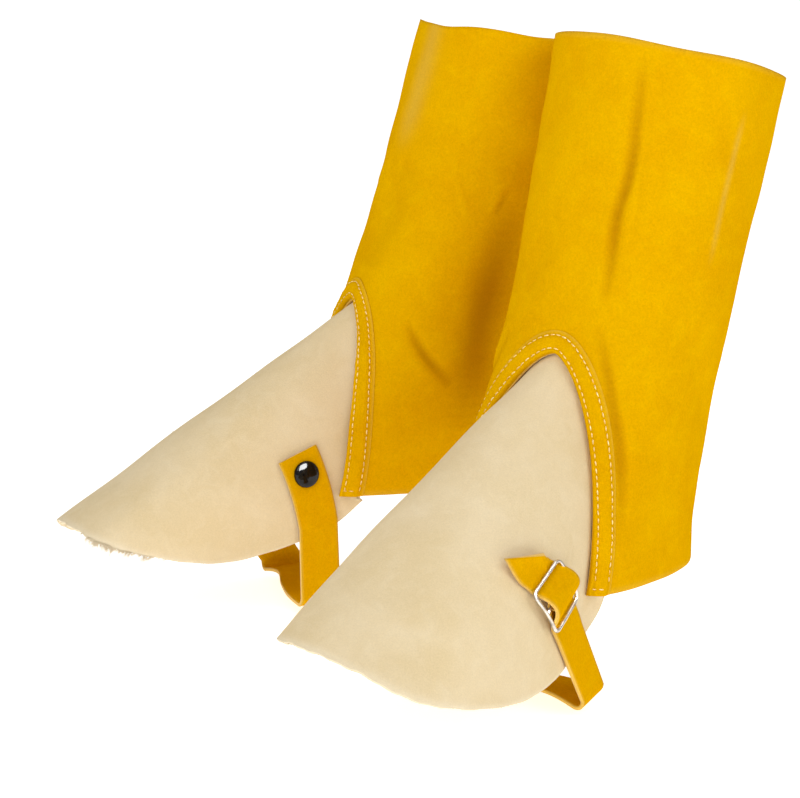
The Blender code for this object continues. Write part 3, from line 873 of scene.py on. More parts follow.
LEG_FOLDS = {
    Side.LEFT: (
        Fold(((15, 0.99), (18, 0.86), (20, 0.75), (18, 0.67), (20, 0.58), (21, 0.50)), -2.6, 3.1),
        Fold(((23, 0.93), (26, 0.78), (28, 0.69), (29, 0.62)), -0.9, 2.2, 0.7),
        Fold(((19, 0.47), (28, 0.41), (39, 0.32), (46, 0.26), (52, 0.19), (55, 0.11)), -2.1, 3.0, 0.3),
        Fold(((48, 0.60), (60, 0.55), (66, 0.47)), -0.9, 11.0),
        Fold(((96, 0.42), (104, 0.33), (100, 0.22)), -1.4, 12.0),
        Fold(((334, 0.66), (338, 0.57), (333, 0.48)), -1.0, 8.0),
        Fold(((128, 0.90), (133, 0.76), (130, 0.60), (138, 0.50)), -1.8, 4.5),
        Fold(((152, 0.40), (144, 0.32), (149, 0.22)), -2.2, 4.2),
        Fold(((212, 0.46), (222, 0.38), (236, 0.33)), -2.4, 4.0),
        Fold(((228, 0.84), (232, 0.70), (226, 0.58)), -1.6, 5.0),
        Fold(((262, 0.62), (276, 0.55), (292, 0.52)), -1.9, 4.4),
        Fold(((300, 0.30), (312, 0.34), (322, 0.42)), -1.5, 3.6),
        Fold(((188, 0.14), (170, 0.10), (150, 0.11)), -1.6, 4.6),
    ),
    Side.RIGHT: (
        Fold(((309, 0.37), (296, 0.312), (286, 0.28), (272, 0.24)), -2.3, 2.7),
        Fold(((311, 0.76), (309, 0.69), (302, 0.645), (293, 0.59)), 1.0, 1.7, 0.6, 0.3),
        Fold(((275, 0.68), (279, 0.61)), -1.0, 2.2, 0.9),
        Fold(((338, 0.72), (0, 0.69), (16, 0.66)), -1.0, 6.5),
        Fold(((350, 0.70), (352, 0.58), (354, 0.47)), -3.6, 17.0, 0.0, 0.1),
        Fold(((345, 0.79), (10, 0.76)), 1.0, 7.0, 0.0),
        # A broad hollow whose painted shade is raised 4.5 times, to stand for the shade that the left spat
        # throws on this side of the leg.
        Fold(((270, 0.66), (266, 0.48), (261, 0.33), (258, 0.14)), -3.4, 14.0, 0.2, 4.5),
        Fold(((326, 0.53), (314, 0.56), (304, 0.54)), -0.8, 7.0),
        Fold(((232, 0.80), (236, 0.66), (231, 0.55)), -1.7, 4.6),
        Fold(((206, 0.44), (216, 0.37), (231, 0.35)), -2.3, 4.0),
        Fold(((136, 0.86), (131, 0.72), (137, 0.58)), -1.8, 4.8),
        Fold(((118, 0.46), (104, 0.40), (92, 0.41)), -1.9, 4.2),
        Fold(((50, 0.88), (54, 0.72), (49, 0.60)), -1.5, 4.0),
        Fold(((40, 0.40), (50, 0.31), (56, 0.20)), -1.6, 3.4),
        Fold(((172, 0.12), (190, 0.09), (212, 0.11)), -1.6, 4.6),
    ),
}


# The scuffed streak on each leg: degrees round it, half width in degrees, lowest and highest share
LEG_STREAKS = {Side.LEFT: (72, 1.7, 0.60, 0.84), Side.RIGHT: (353, 8.0, 0.70, 0.97)}

# Dips of the rim: degrees round the leg, half width in degrees, depth in millimetres
RIM_DIPS = {
    Side.LEFT: ((32, 26, 1.8), (150, 20, 1.2), (232, 30, -0.8)),
    Side.RIGHT: (
        (318, 34, 2.2), (340, 16, 2.6), (4, 22, 2.8), (288, 14, 1.0), (60, 22, 1.0), (170, 30, -0.8),
    ),
}


@dataclass
class LegPanel:
    """The leg: one panel wrapped round and closed at the back by a lapped seam, with a V cut in its front."""

    form: FootForm
    columns: int = 260
    rows_below: int = 84
    rows_above: int = 84
    swell_rise: float = 0.0009
    swell_size: float = 0.075
    ripple_rise: float = 0.00022
    ripple_size: float = 0.024
    lap_rise: float = 0.0012
    lap_half: float = 0.0065
    scuff: float = 0.32

    def relief(self, angle: Array, share: Array) -> tuple[Array, Array]:
        """How the leather stands off its form.

        Args:
            angle: Radians round the leg.
            share: Share of the height.

        Returns:
            The rise in metres, from the folds, two sizes of swell and the lap of the back seam, and the
            folds' shade.
        """
        degrees = np.degrees(angle) % 360
        rise, shade = LEG_MAP.relief(LEG_FOLDS[self.form.side], degrees, share)
        points = self.form.in_pair(self.form.leg(angle, share))
        seed = 11 if self.form.side is Side.LEFT else 23
        rise = rise + self.swell_rise * swell(points, self.swell_size, seed)
        rise = rise + self.ripple_rise * swell(points, self.ripple_size, seed + 1)
        from_back = (degrees - 180) * LEG_MAP.across
        lap = ease(from_back, -self.lap_half - 0.0012, -self.lap_half) * (1 - ease(from_back, 0.010, 0.030))
        return rise + self.lap_rise * lap, shade

    def at(self, angle: Array, share: Array, lift: float | Array = 0.0) -> tuple[Array, Array]:
        """Points `lift` above the leather's outer face, and the form's normals there."""
        normal = self.form.leg_normal(angle, share)
        rise = self.relief(angle, share)[0] + lift
        return self.form.leg(angle, share) + rise[..., None] * normal, normal

    def worn(self, angle: Array, share: Array) -> Array:
        """Scuffed streaks: an upright bell along each streak's middle, broken by its own fading."""
        middle, half, low, high = LEG_STREAKS[self.form.side]
        fade = ease(share, low, low + 0.1) * (1 - ease(share, high, high + 0.08))
        return self.scuff * np.exp(-((degrees_from(np.degrees(angle), middle) / half) ** 2)) * fade

    def rim_dip(self, degrees: Array) -> Array:
        """How far the rim lies below its even ring, as a share of the height: a bell for each dip."""
        drop = -0.0035 * np.sin(np.radians(2 * degrees) + 0.6)
        for middle, half, depth in RIM_DIPS[self.form.side]:
            away = degrees_from(degrees, middle)
            drop = drop + depth * 0.001 / LEG_MAP.up * np.exp(-((away / half) ** 2))
        return drop

    def build(self, finishes: Finishes) -> Piece:
        """Builds the panel: rows follow the V's edge below its apex and close into rings above it."""
        below = np.linspace(1, 0, self.rows_below + 1)
        start, shares = self.form.vee(below)
        end = 2 * math.pi + self.form.vee(-below)[0]
        apex = self.form.apex_share
        shares = np.concatenate([shares, np.linspace(apex, 1, self.rows_above + 1)[1:]])
        start = np.concatenate([start, np.zeros(self.rows_above)])[:, None]
        end = np.concatenate([end, np.full(self.rows_above, 2 * math.pi)])[:, None]
        angle = start + (end - start) * np.linspace(0, 1, self.columns + 1)
        share = shares[:, None] + 0 * angle
        share = share - self.rim_dip(np.degrees(angle)) * ease(share, 0.9, 1.0)
        shade = self.relief(angle, share)[1]
        points = self.at(angle, share)[0]
        edge = ease(np.abs(share - 0.5), 0.485, 0.5)
        # The fold value is the folds' painted shade.
        values = {"fold": shade, "worn": np.maximum(self.worn(angle, share), 0.2 * edge)}
        leathers = [finishes.suede, finishes.yellow_edge]
        piece = make_piece("leg_leather", self.form, MeshParts.grid(points, values), leathers)
        give_wall(piece, self.form.leg_wall, outward=False)
        return piece

    def seam(self, finishes: Finishes, stitching: Stitching) -> Piece:
        """Two rows of stitches up the back seam."""
        share = np.linspace(0.012, 0.988, 300)
        rows = []
        for aside in (-self.lap_half + 0.0022, self.lap_half - 0.0022):
            angle = np.radians(180 + aside / LEG_MAP.across + 0 * share)
            rows.append(self.at(angle, share, 0.00005))
        return stitching.sew("back_seam_stitches", self.form, rows, finishes.thread)


@dataclass
class VeeBand:
    """The doubled band along the V's edge, sewn down in two rows that are 7 mm apart."""

    form: FootForm
    leg: LegPanel
    width: float = 0.012
    wall: float = 0.0024
    gap: float = 0.0002
    columns: int = 340
    rows: int = 22
    stitch_rows: tuple[float, float] = (0.0024, 0.0094)

    def inner_lift(self, along: Array, width: Array) -> Array:
        """The band's inner face over the leg: its gap, and puckers between the stitch rows; on the right foot
        it also stands off a little at the apex."""
        draw = swell(np.stack([along * 0.19, width, 0 * along], -1), 0.011, 5 + self.form.side.value)
        pucker = 0.00022 * draw * np.sin(math.pi * width / self.width)
        flare = 0.0
        if self.form.side is Side.RIGHT:
            flare = 0.0004 * np.exp(-(((along - 0.07) / 0.05) ** 2)) * (1 - width / self.width) ** 1.5
        return self.gap + pucker + flare

    def top_lift(self, along: Array, width: Array) -> Array:
        """The band's upper face over the leg: full at its folded edge, which is rounded, and skived thin
        towards its outer row of stitches; each row pulls a soft channel into it."""
        fold = np.sqrt(np.clip(width / 0.0011, 0, 1) * (2 - np.clip(width / 0.0011, 0, 1)))
        skive = 1 - 0.90 * ease(width, 0.66 * self.width, self.width)
        pull = sum(np.exp(-(((width - row) / 0.0011) ** 2)) for row in self.stitch_rows)
        lumps = swell(np.stack([along * 0.19, width, 0 * along], -1), 0.0065, 9 + self.form.side.value)
        return self.inner_lift(along, width) + self.wall * fold * skive * (1 + 0.07 * lumps) - 0.0004 * pull

    def end(self, width: Array, corner: int) -> Array:
        """Where each line of the band meets the hem at one corner (-1 or 1), by halving."""
        low, high = np.full_like(width, 0.8), np.ones_like(width)
        for _ in range(20):
            middle = (low + high) / 2
            above = self.form.beside_vee(corner * middle, width)[1] > 0
            low, high = np.where(above, middle, low), np.where(above, high, middle)
        return corner * low

    def build(self, finishes: Finishes) -> Piece:
        """Builds the band from the leg's own points, moved out: a closed section, out over its top and back
        underneath, carried along the V's edge, with flat ends."""
        walk = np.concatenate([
            self.width * (1 - np.cos(np.linspace(0, math.pi, self.rows + 1))) / 2,
            np.linspace(self.width, 0, 8),
        ])
        on_top = np.arange(len(walk)) <= self.rows
        share_along = np.linspace(0, 1, self.columns + 1)
        first, last = self.end(walk, -1)[:, None], self.end(walk, 1)[:, None]
        along = first + (last - first) * share_along
        width = walk[:, None] + 0 * along
        angle, share = self.form.beside_vee(along, width)
        lift = np.where(on_top[:, None], self.top_lift(along, width), self.inner_lift(along, width))
        points = self.leg.at(angle, share, lift)[0]
        # Painted shade: the channels that the stitch rows pull into the top are darkened through the fold
        # value.
        pull = sum(np.exp(-(((width - row) / 0.0008) ** 2)) for row in self.stitch_rows)
        fold = np.where(on_top[:, None], 0.3 * pull, 0.0)
        worn = 0.25 * ease(width, 0.010, self.width)
        parts = MeshParts.grid(points, {"fold": fold, "worn": worn}, flip=True)
        ends = np.arange(points.shape[0]) * points.shape[1]
        parts.faces += [ends.tolist(), (ends + self.columns)[::-1].tolist()]
        piece = make_piece("vee_band_leather", self.form, parts, [finishes.band])
        recalculate(piece)
        return piece

    def stitches(self, finishes: Finishes, stitching: Stitching) -> Piece:
        """Two rows along the band and a short one across each of its ends."""
        rows = []
        for width in self.stitch_rows:
            ends = [0.985 * float(self.end(np.array(width), corner)) for corner in (-1, 1)]
            along = np.linspace(*ends, 900)
            angle, share = self.form.beside_vee(along, width)
            rows.append(self.leg.at(angle, share, self.top_lift(along, width + 0 * along)))
        across = np.linspace(0.0010, self.width - 0.0010, 30)
        for corner in (-1, 1):
            along = 0.978 * self.end(across, corner)
            angle, share = self.form.beside_vee(along, across)
            rows.append(self.leg.at(angle, share, self.top_lift(along, across)))
        return stitching.sew("vee_band_stitches", self.form, rows, finishes.thread)


# ---------------------------------------------------------------------------------- vamp


VAMP_MAP = PanelMap(across=0.19, up=0.15)

VAMP_FOLD_LINE = ((0.60, 0.30), (0.66, 0.42), (0.72, 0.50))
VAMP_FOLDS = {
    side: (Fold(tuple((side.value * along, down) for along, down in VAMP_FOLD_LINE), -0.8, 6.0),)
    for side in Side
}


@dataclass
class Vamp:
    """The vamp: one shield of undyed split leather, tucked under the leg and cut raw round its lower edge."""

    form: FootForm
    wall: float = 0.0018
    columns: int = 220
    rows: int = 96
    swell_rise: float = 0.0003
    swell_size: float = 0.055
    fibres: int = 620
    torn_fibres: int = 420
    tear_middle: float = -0.34
    tear_half: float = 0.06

    def at(self, along: Array, down: Array) -> tuple[Array, Array, Array]:
        """Points on the leather's outer face, its form's normals and the folds' shade."""
        normal = self.form.vamp_normal(along, down)
        rise, shade = VAMP_MAP.relief(VAMP_FOLDS[self.form.side], along, down)
        points = self.form.vamp(along, down)
        seed = 31 if self.form.side is Side.LEFT else 47
        free = ease(down, self.form.tuck_share, 0.22) * (1 - 0.7 * ease(np.abs(along), 0.8, 1.0))
        rise = rise + self.swell_rise * swell(self.form.in_pair(points), self.swell_size, seed)
        return points + (rise * free)[..., None] * normal, normal, shade * free

    def build(self, finishes: Finishes) -> Piece:
        """Builds the panel from its tuck to its lower edge, which a knife has left a little wavy."""
        tuck = np.linspace(0, self.form.tuck_share, 6)[:-1]
        shown = np.linspace(self.form.tuck_share, 1, self.rows)
        down = np.concatenate([tuck, shown])[:, None]
        along = np.linspace(-1, 1, self.columns + 1)[None] + 0 * down
        down = down + 0 * along
        waver = 0.0022 * np.sin(31 * along + 0.4) * np.sin(13 * along) + 0.0012 * np.sin(83 * along)
        down = down + waver * ease(down, 0.85, 1.0) * (1 - ease(np.abs(along), 0.9, 1.0))
        points, _, shade = self.at(along, down)
        # The fold value is the vamp fold's painted shade.
        values = {"fold": shade, "worn": 0.5 * ease(down, 0.975, 1.0)}
        parts = MeshParts.grid(points, values, flip=True)
        piece = make_piece("vamp_leather", self.form, parts, [finishes.cream, finishes.cream_edge])
        give_wall(piece, self.wall, outward=False)
        return piece

    def fray(self, finishes: Finishes) -> Piece:
        """Loose fibres on the raw edge.

        Returns:
            Tapered three-sided fibres that leave the edge outwards and droop; beside the toe of the right
            vamp, which is torn rather than cut there, they are longer and thicker.
        """
        draw = np.random.default_rng(5)
        along = draw.uniform(-0.93, 0.93, self.fibres)
        length = draw.uniform(0.0004, 0.0013, self.fibres)
        if self.form.side is Side.RIGHT:
            tear = draw.normal(self.tear_middle, self.tear_half, self.torn_fibres)
            tuft = 0.35 + 0.65 * np.abs(np.sin(60 * tear))
            along = np.concatenate([along, tear])
            length = np.concatenate([length, tuft * draw.uniform(0.0018, 0.0070, self.torn_fibres)])
        down = 1 + 0 * along
        base, normal, _ = self.at(along, down)
        by_along, by_down = slopes(self.form.vamp, along, np.full_like(along, 0.97))
        outward, sideways = unit(by_down), unit(by_along)
        each = (len(along), 1)
        base = base - normal * draw.uniform(0.1, 0.9, each) * self.wall - 0.0004 * outward
        aim = outward + sideways * draw.normal(0, 0.55, each)
        aim = unit(aim + normal * draw.normal(0.1, 0.35, each))
        bend = unit(sideways * draw.normal(0, 1, each) + np.array([0, 0, -0.7]))
        rings = np.linspace(0, 1, 4)
        rise = rings[:, None] * aim[:, None] + 0.45 * (rings**2)[:, None] * bend[:, None]
        spine = base[:, None] + length[:, None, None] * rise
        thick = draw.uniform(0.00007, 0.00016, len(along)) * np.where(length > 0.0014, 2.0, 1.0)
        thick = thick[:, None] * (1.05 - rings)[None]
        first, second = unit(np.cross(aim, normal)), normal
        angle = np.linspace(0, 2 * math.pi, 3, endpoint=False)
        around = first[:, None] * np.cos(angle)[:, None] + second[:, None] * np.sin(angle)[:, None]
        points = spine[:, :, None] + thick[:, :, None, None] * around[:, None]
        index = np.arange(12).reshape(4, 3)
        faces = grid_faces(np.concatenate([index, index[:, :1]], 1)).tolist() + [[0, 2, 1], [9, 10, 11]]
        parts = MeshParts.copies(points.reshape(len(along), 12, 3), faces)
        return make_piece("vamp_edge_fibres", self.form, parts, [finishes.cream_edge])


# ---------------------------------------------------------------------------------- strap and hardware


@dataclass
class Wall:
    """A flat map of one side of the vamp: u runs up the strap and w across it, in metres, from its centre."""

    form: FootForm
    outer: bool
    y: float
    z: float
    rise: tuple[float, float]
    top: float
    foot: float
    bend: float
    centre: Array = field(init=False)
    up: Array = field(init=False)
    across: Array = field(init=False)
    normal: Array = field(init=False)

    def __post_init__(self) -> None:
        """Drops the point on to the vamp and lays the two axes in the leather there."""
        self.centre = np.array([0.0, self.y, self.z])
        found, normals = self.drop(self.centre[None], np.array([0, 1.0, 0]), np.array([0, 0, 1.0]))
        self.centre, normal = found[0], normals[0]
        rise = np.array([0.0, *self.rise])
        self.up = unit(rise - normal * (rise @ normal))
        self.across = unit(np.cross(normal, self.up)) * (1 if self.outer else -1)
        self.normal = normal

    def drop(self, points: Array, first_axis: Array, second_axis: Array) -> tuple[Array, Array]:
        """Finds the leather above points.

        Args:
            points: Points near the wall.
            first_axis: An axis along which the result keeps the point's place.
            second_axis: Another such axis.

        Returns:
            The surface points at the same place along both axes, found by Newton's rule, and the normals.
        """
        side = 1 if self.outer else -1
        found = np.broadcast_to(np.array([0.65 * side, 0.5]), (*points.shape[:-1], 2)).copy()
        for _ in range(15):
            along, down = found[..., 0], found[..., 1]
            miss = self.form.vamp(along, down) - points
            by_along, by_down = slopes(self.form.vamp, along, down)
            a, b = by_along @ first_axis, by_down @ first_axis
            c, d = by_along @ second_axis, by_down @ second_axis
            e, f = miss @ first_axis, miss @ second_axis
            turn = a * d - b * c
            move = np.stack([(d * e - b * f) / turn, (a * f - c * e) / turn], -1)
            found = np.clip(found - np.clip(move, -0.15, 0.15), (-0.99, self.form.tuck_share), (0.99, 1.3))
        along, down = found[..., 0], found[..., 1]
        return self.form.vamp(along, down), self.form.vamp_normal(along, down)

    def at(self, u: Array, w: Array, height: Array | float) -> Array:
        """Points at (u, w) on the wall, raised off it by `height`."""
        u, w, height = np.broadcast_arrays(u, w, height)
        points = self.centre + u[..., None] * self.up + w[..., None] * self.across
        on_wall, normal = self.drop(points, self.up, self.across)
        return on_wall + height[..., None] * normal


@dataclass
class Strap:
    """The strap: from the snap on the inner side, under the sole, and up through the buckle to its tail."""

    form: FootForm
    outer: Wall
    inner: Wall
    width: float = 0.0240
    wall: float = 0.0020
    gap: float = 0.0010
    hump: float = 0.0074
    tail_lift: float = 0.0045
    tail_turn: float = 0.27
    tail_bend: float = -44.0
    tail_lean: float = 0.56
    tail_curl: float = -28.0
    hump_shift: float = -0.0017
    hump_middle: float = 0.0035
    dimple: float = 0.0005
    dimple_reach: float = 0.0100
    sole_half: float = 0.0460
    sole_flat_half: float = 0.015
    sole_outer_height: float = -0.0040
    sole_inner_height: float = 0.0018
    sole_tilt: float = 0.14
    sole_flare: float = 0.18
    sole_radius: float = 0.004
    buckle_half: float = 0.01175
    columns: int = 17

    def height(self, u: Array) -> Array:
        """How high the strap runs over the outer wall: a raised cosine over the bar, and a lifting tail."""
        wave = self.hump * (1 + np.cos(math.pi * u / self.buckle_half)) / 2
        hump = np.where(np.abs(u) < self.buckle_half, wave, 0.0)
        past = np.maximum(u - self.buckle_half, 0) / (self.outer.top - self.buckle_half)
        return self.gap + hump + self.tail_lift * past**2

    def on_wall(self, wall: Wall, u: Array, across: Array, height: Array) -> Array:
        """Rows on a wall: the line bends sideways a little and leans past the buckle, and the rows turn."""
        past = np.maximum(u - self.buckle_half, 0)
        turn = wall.bend * u + self.tail_turn * ease(past, -0.001, 0.010) + self.tail_bend * past
        lean = self.tail_lean * past * ease(past, -0.006, 0.006)
        aside = wall.bend * u**2 / 2 + lean + self.tail_curl * past**2 / 2
        if wall.outer:
            on_hump = np.clip((u - self.hump_middle) / self.buckle_half, -1, 1)
            aside = aside + self.hump_shift * np.cos(math.pi / 2 * on_hump) ** 2
        return wall.at(
            u[:, None] - across * np.sin(turn)[:, None],
            aside[:, None] + across * np.cos(turn)[:, None],
            height,
        )

    def under_sole(self, x: Array, z: Array, across: Array) -> Array:
        """Rows under the sole: flat in the middle, then along its edges, which turn in towards the heel."""
        x, z = x[:, None], z[:, None]
        lean = np.clip((np.abs(x) - self.sole_flat_half) / (self.sole_half - self.sole_flat_half), 0, 1) ** 2
        edge = np.where(x > 0, self.sole_outer_height, self.sole_inner_height)
        rows_x = x + np.sign(x) * lean * self.sole_flare * across
        rows_y = smooth(UNDER_SOLE, "y", "x", x) - across
        rows_z = z + lean * (edge - self.sole_tilt * across)
        return np.stack(np.broadcast_arrays(rows_x, rows_y, rows_z), -1)

    def rows(self) -> Array:
        """The inner face as rows of points from the snap, under the sole, to the tail."""
        across = np.linspace(-self.width / 2, self.width / 2, self.columns)
        inner_u = np.linspace(self.inner.top, self.inner.foot, 43)
        from_snap = np.hypot(inner_u[:, None], across)
        dent = self.dimple * np.cos(math.pi / 2 * np.clip(from_snap / self.dimple_reach, 0, 1)) ** 2
        inner_rows = self.on_wall(self.inner, inner_u, across, self.gap - dent)
        half = self.buckle_half
        outer_u = np.concatenate([
            np.linspace(self.outer.foot, -half, 20)[:-1],
            np.linspace(-half, half, 42),
            np.linspace(half, self.outer.top, 18)[1:],
        ])
        outer_rows = self.on_wall(self.outer, outer_u, across, self.height(outer_u)[:, None] + 0 * across)
        angle = np.linspace(0, math.pi / 2, 9)
        corner_x = self.sole_half - self.sole_radius * (1 - np.cos(angle))
        corner_z = self.sole_radius * (1 - np.sin(angle))
        flat_x = np.linspace(-self.sole_half + self.sole_radius, self.sole_half - self.sole_radius, 49)[1:-1]
        x = np.concatenate([-corner_x, flat_x, corner_x[::-1]])
        z = np.concatenate([corner_z, 0 * flat_x, corner_z[::-1]])
        under = self.under_sole(x, z, across)
        share = np.linspace(0, 1, 14)[1:-1, None, None]
        down = inner_rows[-1] + (under[0] - inner_rows[-1]) * share
        rise = under[-1] + (outer_rows[0] - under[-1]) * share
        return np.concatenate([inner_rows, down, under, rise, outer_rows])

    def build(self, finishes: Finishes) -> Piece:
        """Builds the strap."""
        rows = self.rows()
        across = np.linspace(-1, 1, self.columns)
        edge = 0.55 * ease(np.abs(across), 0.86, 1.0) + np.zeros(rows.shape[:2])
        parts = MeshParts.grid(rows, {"fold": 0 * edge, "worn": 0.6 * edge}, flip=True)
        piece = make_piece("strap_leather", self.form, parts, [finishes.strap, finishes.yellow_edge])
        give_wall(piece, self.wall, outward=True)
        return piece


@dataclass
class Buckle:
    """The wire buckle: a bent rim with arched sides, its middle bar, and the leather loop that holds it."""

    form: FootForm
    wall_map: Wall
    length: float = 0.0235
    width: float = 0.0268
    corner: float = 0.003
    bar_height: float = 0.0048
    middle_height: float = 0.0055
    radius: float = 0.0010
    chape_width: float = 0.017
    chape_tail: float = 0.009
    chape_wall: float = 0.0010
    seam_gap: float = 0.0003

    def rim(self) -> Array:
        """The rim's middle line: an even walk round a rounded rectangle whose sides arch to the bar."""
        half_u, half_w = self.length / 2, self.width / 2
        angle = np.linspace(0, math.pi / 2, 9)
        corners = [
            (su * (half_u - self.corner) + self.corner * np.cos(angle + start),
             sw * (half_w - self.corner) + self.corner * np.sin(angle + start))
            for su, sw, start in ((1, 1, 0), (-1, 1, math.pi / 2), (-1, -1, math.pi), (1, -1, 1.5 * math.pi))
        ]
        u = np.concatenate([corner[0] for corner in corners])
        w = np.concatenate([corner[1] for corner in corners])
        u, w = np.append(u, u[0]), np.append(w, w[0])
        length = np.append(0, np.cumsum(np.hypot(np.diff(u), np.diff(w))))
        even = np.linspace(0, length[-1], 145)[:-1]
        u, w = np.interp(even, length, u), np.interp(even, length, w)
        arch = np.cos(math.pi * u / (2 * half_u)) ** 2
        return self.wall_map.at(u, w, self.bar_height + (self.middle_height - self.bar_height) * arch)

    def build(self, finishes: Finishes) -> Piece:
        """Builds the rim and the bar as one piece of wire work."""
        points, faces = tube(self.rim(), self.radius, 14, closed=True)
        w = np.linspace(-self.width / 2, self.width / 2, 15)
        bar, bar_faces = tube(self.wall_map.at(0 * w, w, self.middle_height), self.radius, 14, closed=False)
        faces += [[i + len(points) for i in face] for face in bar_faces]
        parts = MeshParts(np.concatenate([points, bar]), faces)
        piece = make_piece("wire_buckle", self.form, parts, [finishes.wire])
        recalculate(piece)
        return piece

    def chape(self, finishes: Finishes) -> Piece:
        """Builds the chape: from its sewn tail it climbs in a soft step and turns over the middle bar."""
        ring = self.radius + self.seam_gap
        sewn = self.chape_wall + 0.0005
        angle = np.radians(np.linspace(-70, 200, 37))
        climb = np.linspace(0, 1, 14)
        rise = sewn + (self.middle_height - ring - sewn) * climb**2 * (3 - 2 * climb)
        u = np.concatenate([-self.chape_tail * (1 - climb[:-1]), ring * np.cos(angle)])
        height = np.concatenate([rise[:-1], self.middle_height + ring * np.sin(angle)])
        across = np.linspace(-self.chape_width / 2, self.chape_width / 2, 13)
        points = self.wall_map.at(*np.broadcast_arrays(u[:, None], across, height[:, None]))
        still = np.zeros(points.shape[:2])
        parts = MeshParts.grid(points, {"fold": still, "worn": still})
        piece = make_piece("chape_leather", self.form, parts, [finishes.strap, finishes.yellow_edge])
        give_wall(piece, self.chape_wall, outward=True)
        return piece


@dataclass
class Snap:
    """The snap's domed cap, with a rolled rim, pressed into the strap."""

    form: FootForm
    wall_map: Wall
    strap: Strap
    radius: float = 0.0075
    height: float = 0.0036
    edge: float = 0.0012
    sides: int = 64

    def build(self, finishes: Finishes) -> Piece:
        """Turns the cap: a low elliptic dome over a half-round rim, closed flat underneath."""
        dome = np.radians(np.linspace(90, 8, 16))
        rim = np.radians(np.linspace(30, -90, 9))
        lip = self.edge / 2
        crown = self.height - self.edge
        radius = [(self.radius - 0.3 * lip) * np.cos(dome), self.radius - lip + lip * np.cos(rim), [0.0]]
        rise = [self.edge + crown * np.sin(dome), lip + lip * np.sin(rim), [0.0]]
        radius, rise = np.concatenate(radius), np.concatenate(rise)
        radius[0] = 0.0
        angle = np.linspace(0, 2 * math.pi, self.sides + 1)[:, None]
        base = self.wall_map.at(np.array(0.0), np.array(0.0), self.strap.gap + self.strap.wall + 0.0003)
        base = base - self.strap.dimple * self.wall_map.normal
        points = (
            base
            + (radius * np.cos(angle))[..., None] * self.wall_map.up
            + (radius * np.sin(angle))[..., None] * self.wall_map.across
            + (rise + 0 * angle)[..., None] * self.wall_map.normal
        )
        piece = make_piece("snap_dome", self.form, MeshParts.grid(points), [finishes.enamel])
        recalculate(piece)
        return piece


# ---------------------------------------------------------------------------------- the spat


@dataclass
class Spat:
    """One spat: its leg, band, vamp, strap, buckle and snap, each declared to the frame."""

    form: FootForm
    finishes: Finishes
    nodes: dict[str, Piece]

    def node(self, name: str) -> str:
        """The frame's name for one of this spat's nodes."""
        return f"{self.form.side.label}_{name}"

    def declare(self, piece: Piece, node: str | None = None) -> Piece:
        """Rides a piece on the pair's one body and lets it stand for a node."""
        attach(piece, BODY)
        if node:
            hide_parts(self.node(node))
        LOG.info("%s: %d faces", piece.name, len(piece.data.polygons))
        return piece

    def build(self) -> None:
        """Builds every piece."""
        form, finishes = self.form, self.finishes
        stitching = Stitching()
        panel = LegPanel(form)
        leg = self.declare(panel.build(finishes), "leg")
        seam = self.declare(panel.seam(finishes, stitching))
        band_maker = VeeBand(form, panel)
        band = self.declare(band_maker.build(finishes), "vee_band")
        sewing = self.declare(band_maker.stitches(finishes, stitching))
        vamp_maker = Vamp(form)
        vamp = self.declare(vamp_maker.build(finishes), "vamp")
        fibres = self.declare(vamp_maker.fray(finishes))
        outer = Wall(form, True, -0.1053, 0.0593, (-0.48, 0.877), 0.0270, -0.032, -6.2)
        inner = Wall(form, False, -0.0847, 0.0743, (-0.33, 0.944), 0.0120, -0.030, 4.0)
        strap_maker = Strap(form, outer, inner)
        strap = self.declare(strap_maker.build(finishes), "strap")
        buckle_maker = Buckle(form, outer)
        buckle = self.declare(buckle_maker.build(finishes), "buckle")
        chape = self.declare(buckle_maker.chape(finishes), "buckle_chape")
        snap = self.declare(Snap(form, inner, strap_maker).build(finishes), "snap_cap")
        back = self.nodes[self.node("snap_back")]
        back.data.materials.clear()
        back.data.materials.append(finishes.wire)


# ---------------------------------------------------------------------------------- studio


@dataclass(frozen=True)
class Softbox:
    """A square softbox, placed from the pair's middle by metres to the camera's right, up and back.

    One that is `glint_only` shows in glossy finishes but doesn't light the rest.
    """

    name: str
    right: float
    up: float
    back: float
    size: float
    watts: float
    glint_only: bool = False


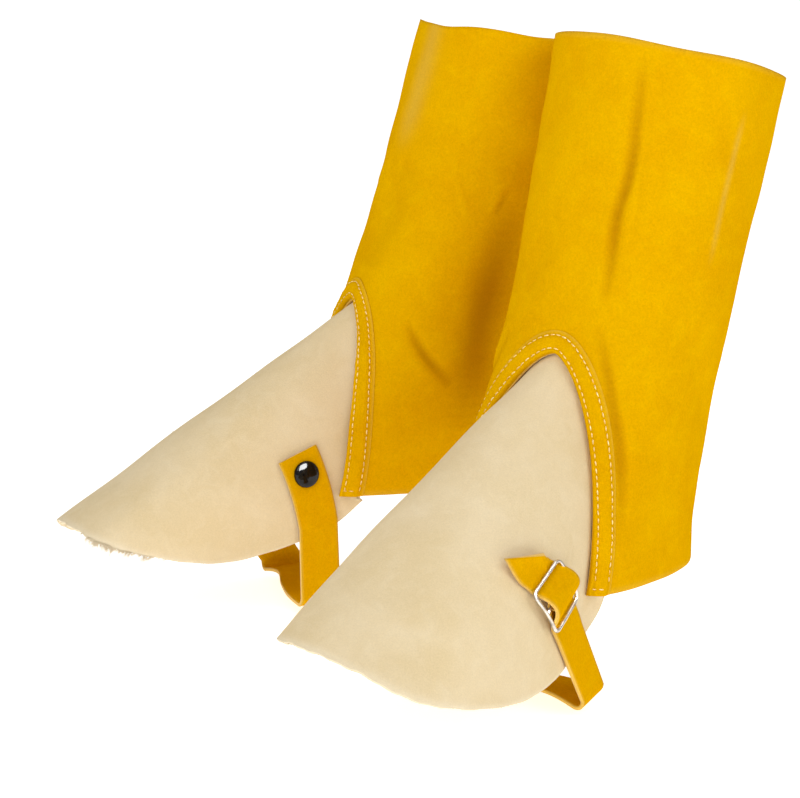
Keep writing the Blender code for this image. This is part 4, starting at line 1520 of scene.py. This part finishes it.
@dataclass
class Studio:
    """A plain pale floor and surroundings, soft square lights, and the camera."""

    camera_place: tuple[float, float, float] = (0.9934, -0.8361, 0.3880)
    heading: tuple[float, float] = (-0.792, 0.610)
    pitch: float = math.radians(11.8)
    roll: float = math.radians(1.9)
    lens: float = 108.12
    middle: tuple[float, float, float] = (0.0, -0.04, 0.16)
    floor_half: float = 30.0
    softboxes: tuple[Softbox, ...] = (
        Softbox("key_softbox", -0.40, 0.80, 0.90, 0.80, 6.6),
        Softbox("fill_softbox", 0.95, 0.65, 1.00, 0.90, 4.2),
        Softbox("top_softbox", 0.00, 1.70, -0.20, 1.20, 3.0),
        Softbox("catch_light", 0.306, 0.624, 0.730, 0.80, 70.0, glint_only=True),
    )

    def build(self) -> None:
        """Builds the floor, the surroundings, the lights and the camera."""
        self.add_floor()
        self.add_surroundings()
        level = Vector((*self.heading, 0)) * math.cos(self.pitch)
        forward = level - Vector((0, 0, math.sin(self.pitch)))
        right = forward.cross(Vector((0, 0, 1))).normalized()
        for box in self.softboxes:
            place = Vector(self.middle) + right * box.right + Vector((0, 0, box.up))
            place -= level.normalized() * box.back
            lamp = bpy.data.lights.new(box.name, "AREA")
            lamp.shape = "SQUARE"
            lamp.size = box.size
            lamp.energy = box.watts
            holder = bpy.data.objects.new(box.name, lamp)
            holder.location = place
            holder.visible_diffuse = not box.glint_only
            holder.rotation_euler = (Vector(self.middle) - place).to_track_quat("-Z", "Y").to_euler()
            bpy.context.scene.collection.objects.link(holder)
        camera = bpy.data.objects.new("camera", bpy.data.cameras.new("camera"))
        camera.data.lens = self.lens
        camera.data.sensor_width = 36.0
        camera.data.clip_start = 0.05
        turn = forward.to_track_quat("-Z", "Y").to_matrix().to_4x4() @ Matrix.Rotation(self.roll, 4, "Z")
        camera.matrix_world = Matrix.Translation(self.camera_place) @ turn
        bpy.context.scene.collection.objects.link(camera)
        bpy.context.scene.camera = camera

    def add_floor(self) -> None:
        """A wide flat floor of matt white board, under the boots' treads."""
        half = self.floor_half
        corners = [(-half, -half, GROUND), (half, -half, GROUND), (half, half, GROUND), (-half, half, GROUND)]
        mesh = bpy.data.meshes.new("studio_floor")
        mesh.from_pydata(corners, [], [(0, 1, 2, 3)])
        board = Recipe("matt_white_board", {
            "Base Color": linear("#F4F4F3"), "Roughness": 0.8, "Specular IOR Level": 0.2,
            "Emission Color": linear("#FFFFFF"), "Emission Strength": 0.75,
        }).material
        mesh.materials.append(board)
        floor = bpy.data.objects.new("studio_floor", mesh)
        bpy.context.scene.collection.objects.link(floor)

    def add_surroundings(self) -> None:
        """Even white surroundings, as of a light tent."""
        world = bpy.data.worlds.new("light_tent")
        world.use_nodes = True
        tent = world.node_tree.nodes["Background"]
        tent.inputs["Color"].default_value = linear("#FFFFFF")
        tent.inputs["Strength"].default_value = 0.44
        bpy.context.scene.world = world
        bpy.context.scene.view_settings.view_transform = "Standard"


def main() -> None:
    """Builds the pair round the frame."""
    logging.basicConfig(level=logging.INFO, format="%(message)s")
    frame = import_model()
    finishes = Finishes.build()
    for side in Side:
        Spat(FootForm(side), finishes, frame["nodes"]).build()
    Studio().build()


if __name__ == "__main__":
    main()
